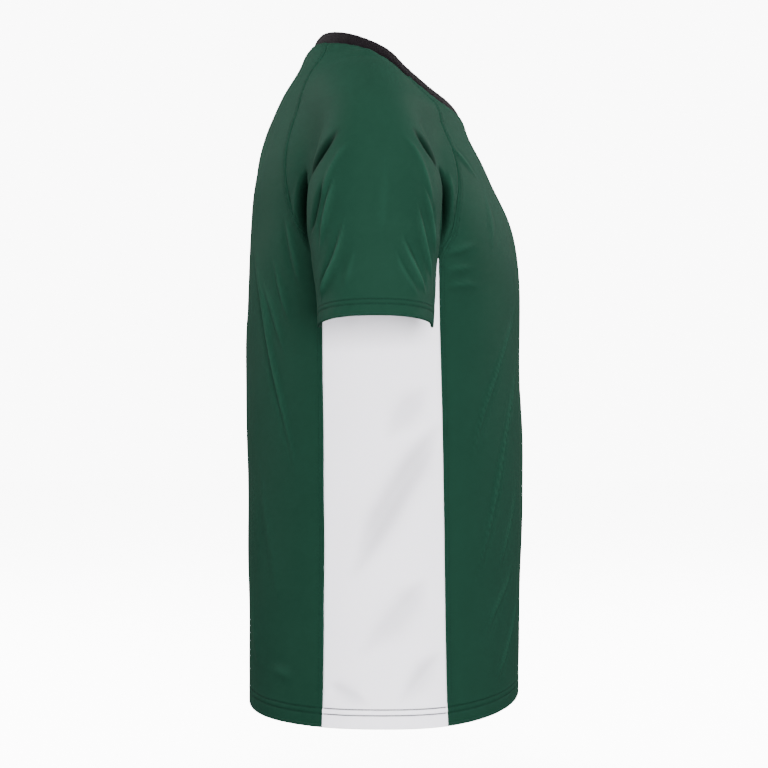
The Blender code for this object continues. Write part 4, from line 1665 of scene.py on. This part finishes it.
@dataclass
class Sleeve(ClothPiece):
    """Raglan sleeve: a tube from its armhole loop to its cuff."""

    cuff_down: float = 0.338
    cuff_depth: float = 0.0176
    strip: float = 0.007
    lift: float = 0.120
    coarse_rows: int = 11
    fine_rows: int = 128
    wrap: int = 4
    plain_parts: int = 8
    creased_parts: int = 11
    sharpest_corner: float = 0.45
    strip_shares: tuple = (0.0, 0.05, 0.11, 0.18, 0.26, 0.35, 0.46, 0.58, 0.72, 0.86)

    def __post_init__(self) -> None:
        """Sews the sleeve's edges."""
        p = self.pattern
        self.closed = True
        self.neck, self.underarm = self.own(p.neck_side), self.own(p.underarm)
        self.edges = [SewnEdge(self.own(seam), roll=0.0009, roll_width=0.0013)
                      for seam in (p.front_raglan, p.back_raglan)]
        self.edges += [SewnEdge(self.neck, NECK_ROWS), SewnEdge(self.underarm, TWIN_ROWS)]

    def hem(self) -> TurnedHem:
        """The cuff's hem."""
        return CUFF_HEM

    def above_hem(self, points: Array) -> Array:
        """Distance up the sleeve from the cuff's fold."""
        out, down = self.form.sleeve_place(points)
        return self.cuff_down - self.form.cuff_lift(out, down) - down

    def loop_at(self, stations: Array) -> Array:
        """The armhole loop: neck, front raglan seam, underarm seam, then back raglan seam upwards.

        Args:
            stations: places round it, in seam stations.

        Returns:
            A point for each place.
        """
        p = self.pattern
        points = np.zeros((len(stations), 3))
        start = 0
        for seam in (p.neck_side, p.front_raglan, p.underarm, p.back_raglan):
            here = (stations >= start) & (stations < start + seam.span)
            local = stations[here] - start
            points[here] = seam.read(seam.span - local if seam is p.back_raglan else local)
            start += seam.span
        return points

    def inset(self, loop: Array, towards: Array) -> Array:
        """The loop moved in along the cloth by the strip's width, each corner mitred.

        Args:
            loop: points of the armhole loop.
            towards: a point on the cloth's side of each.

        Returns:
            The loop's points, moved in.
        """
        normals = self.form.outward(loop)
        run = unit(np.roll(loop, -1, axis=0) - loop)
        way_in = unit(np.cross(normals + np.roll(normals, -1, axis=0), run))
        way_in *= np.sign((way_in * (towards - loop)).sum())
        both = unit(way_in + np.roll(way_in, 1, axis=0))
        cosine = np.maximum((both * way_in).sum(-1, keepdims=True), self.sharpest_corner)
        return self.form.settle(loop + both * self.strip / cosine)

    def base(self) -> Array:
        """The sleeve's grid on the form.

        Returns:
            Rows by columns of points, from the armhole to the cuff's fold.
        """
        p, form = self.pattern, self.form
        count = p.neck_span + 2 * p.raglan_span + p.underarm_span
        stations = np.arange(count, dtype=float)
        loop = self.loop_at(stations)
        turn = p.neck_span / 2 / count
        cuff_top = self.cuff_down - self.cuff_depth
        cuff = form.sleeve_ring(cuff_top, stations / count, turn)
        start = self.inset(loop, cuff)
        lift = self.lift * np.maximum(np.cos(TURN * (stations / count - turn)), 0)[:, None]
        middle = (start + cuff) / 2 + lift * np.array([1.0, 0.0, 1.0])
        v = np.linspace(0, 1, self.coarse_rows + 1)[:, None, None]
        grid = (1 - v)**2 * start + 2 * v * (1 - v) * middle + v**2 * cuff
        grid[1:-1] = form.settle(grid[1:-1], rounds=25)
        grid = relaxed(grid, form, closed=True)
        columns = self.fine_columns()
        rows = np.linspace(0, self.coarse_rows, self.fine_rows)
        wrapped = np.concatenate([grid[:, -self.wrap:], grid, grid[:, :self.wrap + 1]], axis=1)
        fine = refined(wrapped, rows, columns + self.wrap)
        edge = read_along(np.vstack([start, start[:1]]), np.arange(count + 1), columns)
        fine = fine + (edge - fine[0])[None] * eased(rows)[:, None, None]
        fine = form.settle(fine, rounds=4)
        shares = np.array(self.strip_shares)[:, None, None]
        seam = self.loop_at(columns)
        strip = form.settle(seam * (1 - shares) + fine[0] * shares, rounds=4)
        strip[0] = seam
        cuffs = [form.sleeve_ring(self.cuff_down - above, columns / count, turn) for above in CUFF_HEIGHTS]
        return np.concatenate([strip, fine[:-1], np.array(cuffs)])

    def fine_columns(self) -> Array:
        """Stations round the loop, closer on the raglan runs, where the creases lie.

        Returns:
            The stations.
        """
        p = self.pattern
        plain, creased = self.plain_parts, self.creased_parts
        runs, start = [], 0
        for span, parts in ((p.neck_span, plain), (p.raglan_span, creased), (p.underarm_span, plain),
                            (p.raglan_span, creased)):
            runs.append(start + np.arange(span * parts) / parts)
            start += span
        return np.concatenate(runs)


@dataclass
class NeckBand:
    """A doubled rib band that rises from the neck seam and leans in over the opening."""

    pattern: Pattern
    finish: Material
    width: float = 0.0145
    lean: float = float(np.radians(33.0))
    crown: float = 0.0008
    inner_crown: float = 0.3
    seam_dip: float = 0.0006
    seam_dip_height: float = 0.0012
    seat: float = 0.003
    wall: float = 0.0024
    columns: int = 520
    fold_steps: int = 8
    ripple: float = 0.00012
    shares: tuple = (0.0, 0.03, 0.08, 0.15, 0.25, 0.37, 0.5, 0.63, 0.75, 0.85, 0.93, 1.0)
    flat: tuple[float, float] = (0.50, 0.0165)

    def ring(self) -> Array:
        """The whole neck seam as one closed loop.

        Returns:
            Its points, evenly spaced, the first one only once.
        """
        p = self.pattern
        runs = (p.neck_side.points, p.neck_front.points, p.neck_side.points[::-1] * MIRROR,
                p.neck_back.points * MIRROR)
        loop = np.vstack([run[:-1] for run in runs] + [runs[0][:1]])
        return evenly(loop, self.columns)[:-1]

    def rings(self, seam: Array) -> Array:
        """Rings of the band's section: up its outer face, round its folded top and down inside.

        Args:
            seam: the neck seam's points.

        Returns:
            Rows by columns of points.
        """
        tangent = unit(np.roll(seam, -2, axis=0) - np.roll(seam, 2, axis=0))
        away = np.cross(unit(tangent * np.array([1, 1, 0])), UP)
        away *= np.sign((away * (seam - seam.mean(axis=0))).sum(-1, keepdims=True))
        rise = np.cos(self.lean) * UP - np.sin(self.lean) * away
        face = unit(np.cos(self.lean) * away + np.sin(self.lean) * UP)
        ripple = self.ripple * waves(np.arange(self.columns) / self.columns, BAND_RIPPLES)
        radius = self.wall / 2
        shares = np.array(self.shares)
        heights = shares * (self.width - radius)
        swell = self.crown * np.sin(np.pi * shares) - self.seam_dip * bell(heights / self.seam_dip_height)
        angles = np.linspace(0, np.pi, self.fold_steps + 1)[1:-1]
        back = swell[::-1] * self.inner_crown - self.wall
        out = np.concatenate([swell, radius * (np.cos(angles) - 1), back])
        height = np.concatenate([heights, heights[-1] + radius * np.sin(angles), heights[::-1]])
        grid = (seam + rise * height[:, None, None] + face * out[:, None, None]
                + face * ripple[:, None] * (height / self.width)[:, None, None])
        inside = seam - self.pattern.form.outward(seam) * self.wall
        blend = bell(height / self.seat)[:, None, None]
        grid[-len(shares):] += (inside - grid[-1])[None] * blend[-len(shares):]
        return grid

    def build(self) -> Object:
        """Makes the band's mesh.

        Returns:
            The object.
        """
        seam = self.ring()
        grid = self.rings(seam)
        length = running_length(np.vstack([seam, seam[:1]]))
        uv = np.stack(np.meshgrid(length, running_length(np.vstack([grid[:, 0], grid[:1, 0]]))), -1)
        numbers = numbered(grid.shape, closed=True)
        points = grid.reshape(-1, 3)
        ring = np.vstack([numbers, numbers[:1]])
        faces, uv_faces = outwards(points, quads(ring), quads(numbered(uv.shape)))
        made = mesh_object("neck_band_rib", points, faces, uv.reshape(-1, 2), uv_faces, self.finish)
        log.info("%s: %d faces", made.name, len(faces))
        return made


# ---------- stitches

# place along a stitch, as a share of its length, and share of its full radius there
STITCH_RINGS = ((-0.5, 0.25), (-0.32, 0.85), (0.0, 1.0), (0.32, 0.85), (0.5, 0.25))
STITCH_SIDES = 5
# run of a row beside a seam, points and runs of a row round the hem, and points of one round a cuff
ROW_STEP = 0.0025
HEM_LINE_POINTS = 160
HEM_ROW_RUNS = 200
CUFF_ROW_POINTS = 150


@dataclass(frozen=True)
class StitchRow:
    """One needle's row of stitches on a piece's outer skin."""

    piece: ClothPiece
    line: Array
    pitch: float = 0.0031
    length: float = 0.0024
    radius: float = 0.00030
    stand: float = 0.55
    dip: float = 1.5
    girth: float = 0.0009

    def capsules(self) -> tuple[Array, Array]:
        """Points of every stitch, each a short tube that dips into the cloth at both ends.

        Returns:
            Stitches by rings by sides of points, and their coordinates along and round the thread.
        """
        surface, normals = self.piece.lifted(self.line)
        distance = running_length(surface)
        count = int((distance[-1] - self.length) / self.pitch)
        centres = self.length / 2 + (np.arange(count) + 0.5) * (distance[-1] - self.length) / max(count, 1)
        rings, size = np.array(STITCH_RINGS).T
        at = centres[:, None] + rings * self.length
        spine, up = read_along(surface, distance, at), unit(read_along(normals, distance, at))
        ahead = unit(np.roll(spine, -1, axis=1) - spine)
        ahead[:, -1] = ahead[:, -2]
        aside = unit(np.cross(ahead, up))
        spine = spine + up * (self.radius * (self.stand - self.dip * (2 * rings)**4))[None, :, None]
        angle = np.linspace(0, TURN, STITCH_SIDES, endpoint=False)
        circle = np.cos(angle)[:, None] * aside[:, :, None] + np.sin(angle)[:, None] * up[:, :, None]
        points = spine[:, :, None] + circle * (self.radius * size)[None, :, None, None]
        along = np.broadcast_to(at[:, :, None], points.shape[:3])
        round_it = np.broadcast_to(angle / TURN * self.girth, points.shape[:3])
        return points, np.stack([along, round_it], -1)


@dataclass
class Stitching:
    """All stitches of one thread, joined in one mesh."""

    name: str
    finish: Material
    rows: list[StitchRow]

    def build(self) -> Object:
        """Makes the mesh: triangles round each stitch, and a fan of them at both its ends.

        Returns:
            The object.
        """
        made = [row.capsules() for row in self.rows]
        points = np.concatenate([p for p, _ in made])
        uv = np.concatenate([c for _, c in made])
        count, rings, sides = points.shape[:3]
        ring = numbered((rings, sides))
        tube = quads(numbered((rings, sides), closed=True))
        faces = np.concatenate([tube[:, :3], tube[:, [0, 2, 3]],
                                ring[0][[[0, 1, 2], [0, 2, 3], [0, 3, 4]]],
                                ring[-1][[[2, 1, 0], [3, 2, 0], [4, 3, 0]]]])
        every = (faces[None] + (np.arange(count) * rings * sides)[:, None, None]).reshape(-1, 3)
        flat = points.reshape(-1, 3)
        every, _ = outwards(flat, every, every)
        result = mesh_object(self.name, flat, every, uv.reshape(-1, 2), every, self.finish)
        log.info("%s: %d stitches, %d faces", self.name, count, len(every))
        return result


def row_beside(piece: ClothPiece, seam: Seam, distance: float, inside: Array) -> Array:
    """A line on a piece at a distance from its seam.

    Args:
        piece: the piece that it lies on.
        seam: the seam that it follows.
        distance: how far from the seam.
        inside: a point on the piece's side of the seam, or one for each end.

    Returns:
        Points on the form.
    """
    points = evenly(seam.points, int(seam.length / ROW_STEP))
    tangent = unit(np.gradient(points, axis=0))
    way = unit(np.cross(piece.form.outward(points), tangent))
    way *= np.sign((way * (inside - points)).sum())
    return piece.form.settle(points + way * distance, rounds=3)


def rows_beside(piece: ClothPiece, seam: Seam, distances: Sequence[float], inside: Array) -> list[StitchRow]:
    """Rows of stitches on a piece, at distances from its seam."""
    return [StitchRow(piece, row_beside(piece, seam, distance, inside)) for distance in distances]


# ---------- studio

def level_rings(radii: Array, heights: Array, sides: int) -> Array:
    """Level rings of points.

    Args:
        radii: a radius for each ring.
        heights: a height for each ring.
        sides: number of points in a ring.

    Returns:
        Rows by columns of points.
    """
    angle = np.linspace(0, TURN, sides, endpoint=False)
    circle = np.stack([np.cos(angle), np.sin(angle), 0 * angle], -1)
    return radii[:, None, None] * circle + heights[:, None, None] * UP


@dataclass
class Studio:
    """Camera, soft lights, a pale floor and a white backdrop."""

    camera_place: tuple[float, float, float] = (-2.1, 0.0, -0.355)
    lens: float = 91.05
    sensor_width: float = 36.0
    clip_end: float = 60.0
    floor_drop: float = 0.10
    floor_radius: float = 7.0
    floor_rings: int = 12
    floor_sides: int = 64
    wall_sides: int = 96
    wall_radius: float = 6.8
    wall_height: float = 8.0
    backdrop_glow: float = 9.0
    floor_glow: float = 9.0
    world_glow: float = 0.45
    light_target: tuple[float, float, float] = (0.0, 0.0, -0.25)
    # name, place, size, power
    lights: tuple = (
        ("front_light", (1.2, -2.2, 0.8), 1.2, 150.0),
        ("back_light", (1.0, 2.2, 0.8), 1.2, 140.0),
        ("top_light", (-0.3, 0.1, 2.1), 0.9, 70.0),
        ("key_light", (-3.3, -0.4, -0.2), 1.4, 312.0))

    def build(self) -> None:
        """Sets the whole studio up."""
        self.camera()
        self.floor()
        self.world()
        self.backdrop()
        for name, place, size, power in self.lights:
            self.softbox(name, place, size, power)

    def camera(self) -> None:
        """A camera level with the top's middle, looking square at its side."""
        data = bpy.data.cameras.new("camera")
        data.lens = self.lens
        data.sensor_width = self.sensor_width
        data.clip_end = self.clip_end
        made = bpy.data.objects.new("camera", data)
        made.location = self.camera_place
        made.rotation_euler = (np.pi / 2, 0.0, -np.pi / 2)
        bpy.context.scene.collection.objects.link(made)
        bpy.context.scene.camera = made

    @property
    def ground(self) -> float:
        """Height of the floor, below the hem."""
        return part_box("back_panel")[0][2] - self.floor_drop

    def floor(self) -> None:
        """A round pale floor, its radius growing with the square of the ring."""
        radii = np.linspace(0.0, 1.0, self.floor_rings + 1)[1:]**2 * self.floor_radius
        rings = level_rings(radii, np.full_like(radii, self.ground), self.floor_sides)
        middle = numbered(rings.shape)[0].tolist()
        self.surround("floor", "pale_floor", rings, [middle], self.floor_glow)

    def backdrop(self) -> None:
        """A tall white wall all round, lit so that it glows evenly."""
        heights = np.array([self.ground, self.wall_height])
        rings = level_rings(np.full_like(heights, self.wall_radius), heights, self.wall_sides)
        self.surround("backdrop", "white_backdrop", rings, [], self.backdrop_glow)

    @staticmethod
    def surround(name: str, finish: str, rings: Array, caps: list, glow: float) -> None:
        """A pale glowing part of the studio, which the top's own light doesn't come from.

        Args:
            name: its object's name.
            finish: its material's name.
            rings: rows by columns of points.
            caps: numbers of the points of any face besides those between the rings.
            glow: how strongly it glows.
        """
        mesh = bpy.data.meshes.new(name)
        faces = quads(numbered(rings.shape, closed=True)).tolist() + caps
        mesh.from_pydata(rings.reshape(-1, 3).tolist(), [], faces)
        made = bpy.data.objects.new(name, mesh)
        shader = Shader(finish)
        shader.constants(Base_Color=(0.9, 0.9, 0.9, 1.0), Roughness=0.9,
                         Emission_Color=(1.0, 1.0, 1.0, 1.0), Emission_Strength=glow)
        mesh.materials.append(shader.material)
        bpy.context.scene.collection.objects.link(made)
        made.visible_diffuse = False
        made.visible_glossy = False

    def world(self) -> None:
        """An even white surround."""
        world = bpy.data.worlds.new("surround")
        world.use_nodes = True
        background = world.node_tree.nodes["Background"]
        background.inputs["Color"].default_value = (1.0, 1.0, 1.0, 1.0)
        background.inputs["Strength"].default_value = self.world_glow
        bpy.context.scene.world = world

    def softbox(self, name: str, place: tuple, size: float, power: float) -> None:
        """A square area light turned to the top's middle.

        Args:
            name: its name.
            place: where it hangs.
            size: length of its sides.
            power: its power in watts.
        """
        data = bpy.data.lights.new(name, "AREA")
        data.size = size
        data.energy = power
        made = bpy.data.objects.new(name, data)
        made.location = place
        way = np.array(self.light_target) - np.array(place)
        heading = np.arctan2(way[1], way[0])
        dip = np.arctan2(np.hypot(way[0], way[1]), -way[2])
        made.rotation_euler = (dip, 0.0, heading - np.pi / 2)
        bpy.context.scene.collection.objects.link(made)


# ---------- the whole top

# points on a sleeve's side of its neck seam and of its underarm seam
BEYOND_NECK = np.array([0.26, 0.01, -0.12])
BEYOND_UNDERARM = np.array([0.21, 0.0, -0.25])


@dataclass
class TrainingTop:
    """The top: its seven pieces and their stitches."""

    pattern: Pattern
    drape: Drape
    green: Material
    white: Material
    rib: Material
    white_length: float = 0.0034
    white_radius: float = 0.00055

    def pieces(self) -> dict[str, ClothPiece]:
        """The six pieces cut from jersey, by their nodes' names.

        Returns:
            The pieces, not built yet.
        """
        cut = (self.pattern, self.drape)
        pieces: list[ClothPiece] = [
            TorsoPanel("front_panel", *cut, self.green, flat=(0.42, 0.70), area=0.246, facing=Facing.FRONT),
            TorsoPanel("back_panel", *cut, self.green, flat=(0.43, 0.75), area=0.258, facing=Facing.BACK)]
        for hand in Hand:
            side = hand.name.lower()
            pieces += [
                SidePanel(side + "_side_panel", *cut, self.white, flat=(0.13, 0.47), area=0.058,
                          slot="white_jersey", hand=hand),
                Sleeve(side + "_sleeve", *cut, self.green, flat=(0.46, 0.40), area=0.102, hand=hand)]
        return {piece.name: piece for piece in pieces}

    def green_rows(self, pieces: dict[str, ClothPiece]) -> list[StitchRow]:
        """Rows on the green pieces: raglan, side, neck, underarm, hem and cuffs.

        Args:
            pieces: the jersey pieces, by their nodes' names.

        Returns:
            The rows.
        """
        rows: list[StitchRow] = []
        for node, middle_y in (("front_panel", -0.14), ("back_panel", 0.14)):
            panel = pieces[node]
            inside = np.array([0.0, middle_y, -0.25])
            for seam in (panel.raglan, panel.side):
                rows += rows_beside(panel, seam, TWIN_ROWS, inside)
                rows += rows_beside(panel, seam.mirrored(), TWIN_ROWS, inside)
            below = panel.neck.points.mean(axis=0) + np.array([0.0, np.sign(middle_y) * 0.08, -0.10])
            rows += rows_beside(panel, panel.neck, NECK_ROWS, below)
            rows += self.hem_rows(panel, panel.side.points[-1], panel.side.points[-1] * MIRROR, middle_y)
        around = np.linspace(0, 1, CUFF_ROW_POINTS)
        for hand in Hand:
            sleeve = pieces[hand.name.lower() + "_sleeve"]
            rows += rows_beside(sleeve, sleeve.neck, NECK_ROWS, BEYOND_NECK * hand.flip)
            rows += rows_beside(sleeve, sleeve.underarm, TWIN_ROWS, BEYOND_UNDERARM * hand.flip)
            for above in CUFF_HEM.rows:
                ring = self.pattern.form.sleeve_ring(sleeve.cuff_down - above, around, 0.5)
                rows.append(StitchRow(sleeve, ring * hand.flip))
        return rows

    def hem_rows(self, piece: ClothPiece, start: Array, end: Array, middle_y: float) -> list[StitchRow]:
        """Both rows of a piece's hem, between its side seams.

        Args:
            piece: the piece that they lie on.
            start: lower end of one side seam.
            end: lower end of the other one.
            middle_y: how far behind them the line's middle is, below nothing in front.

        Returns:
            The two rows.
        """
        t = np.linspace(0, 1, HEM_LINE_POINTS)[:, None]
        line = start * (1 - t) + end * t
        line[:, 1] += middle_y * np.sin(np.pi * t[:, 0])
        rings = self.pattern.level_ring(line, np.array(BODY_HEM.rows))
        return [StitchRow(piece, evenly(ring, HEM_ROW_RUNS)) for ring in rings]

    def white_rows(self, pieces: dict[str, ClothPiece]) -> list[StitchRow]:
        """Rows on the white side panels' hems, in longer and thicker stitches.

        Args:
            pieces: the jersey pieces, by their nodes' names.

        Returns:
            The rows.
        """
        front, back = self.pattern.front_side.points[-1], self.pattern.back_side.points[-1]
        rows: list[StitchRow] = []
        for hand in Hand:
            panel = pieces[hand.name.lower() + "_side_panel"]
            rows += self.hem_rows(panel, front * hand.flip, back * hand.flip, 0.0)
        return [replace(row, length=self.white_length, radius=self.white_radius) for row in rows]

    @staticmethod
    def declare(made: Object, slot: str) -> None:
        """Lets a piece ride on the body."""
        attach(made, BODY)

    def build(self) -> None:
        """Builds every piece and lets it ride on the body."""
        pieces = self.pieces()
        for node, piece in pieces.items():
            made = piece.build()
            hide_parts(node)
            self.declare(made, piece.slot)
        band = NeckBand(self.pattern, self.rib)
        made = band.build()
        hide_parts("neck_band")
        self.declare(made, "black_rib")
        for name, thread, rows, slot in (
                ("green_stitches", GREEN_THREAD, self.green_rows(pieces), "green_jersey"),
                ("grey_hem_stitches", GREY_THREAD, self.white_rows(pieces), "white_jersey")):
            self.declare(Stitching(name, thread.material(), rows).build(), slot)


def main() -> None:
    """Builds the top and the studio, in order."""
    logging.basicConfig(level=logging.INFO, format="%(name)s %(message)s")
    form = Form()
    pattern = Pattern(form)
    top = TrainingTop(pattern, Drape(form), GREEN_JERSEY.material(), WHITE_JERSEY.material(),
                      BLACK_RIB.material())
    top.build()
    Studio().build()


if __name__ == "__main__":
    main()
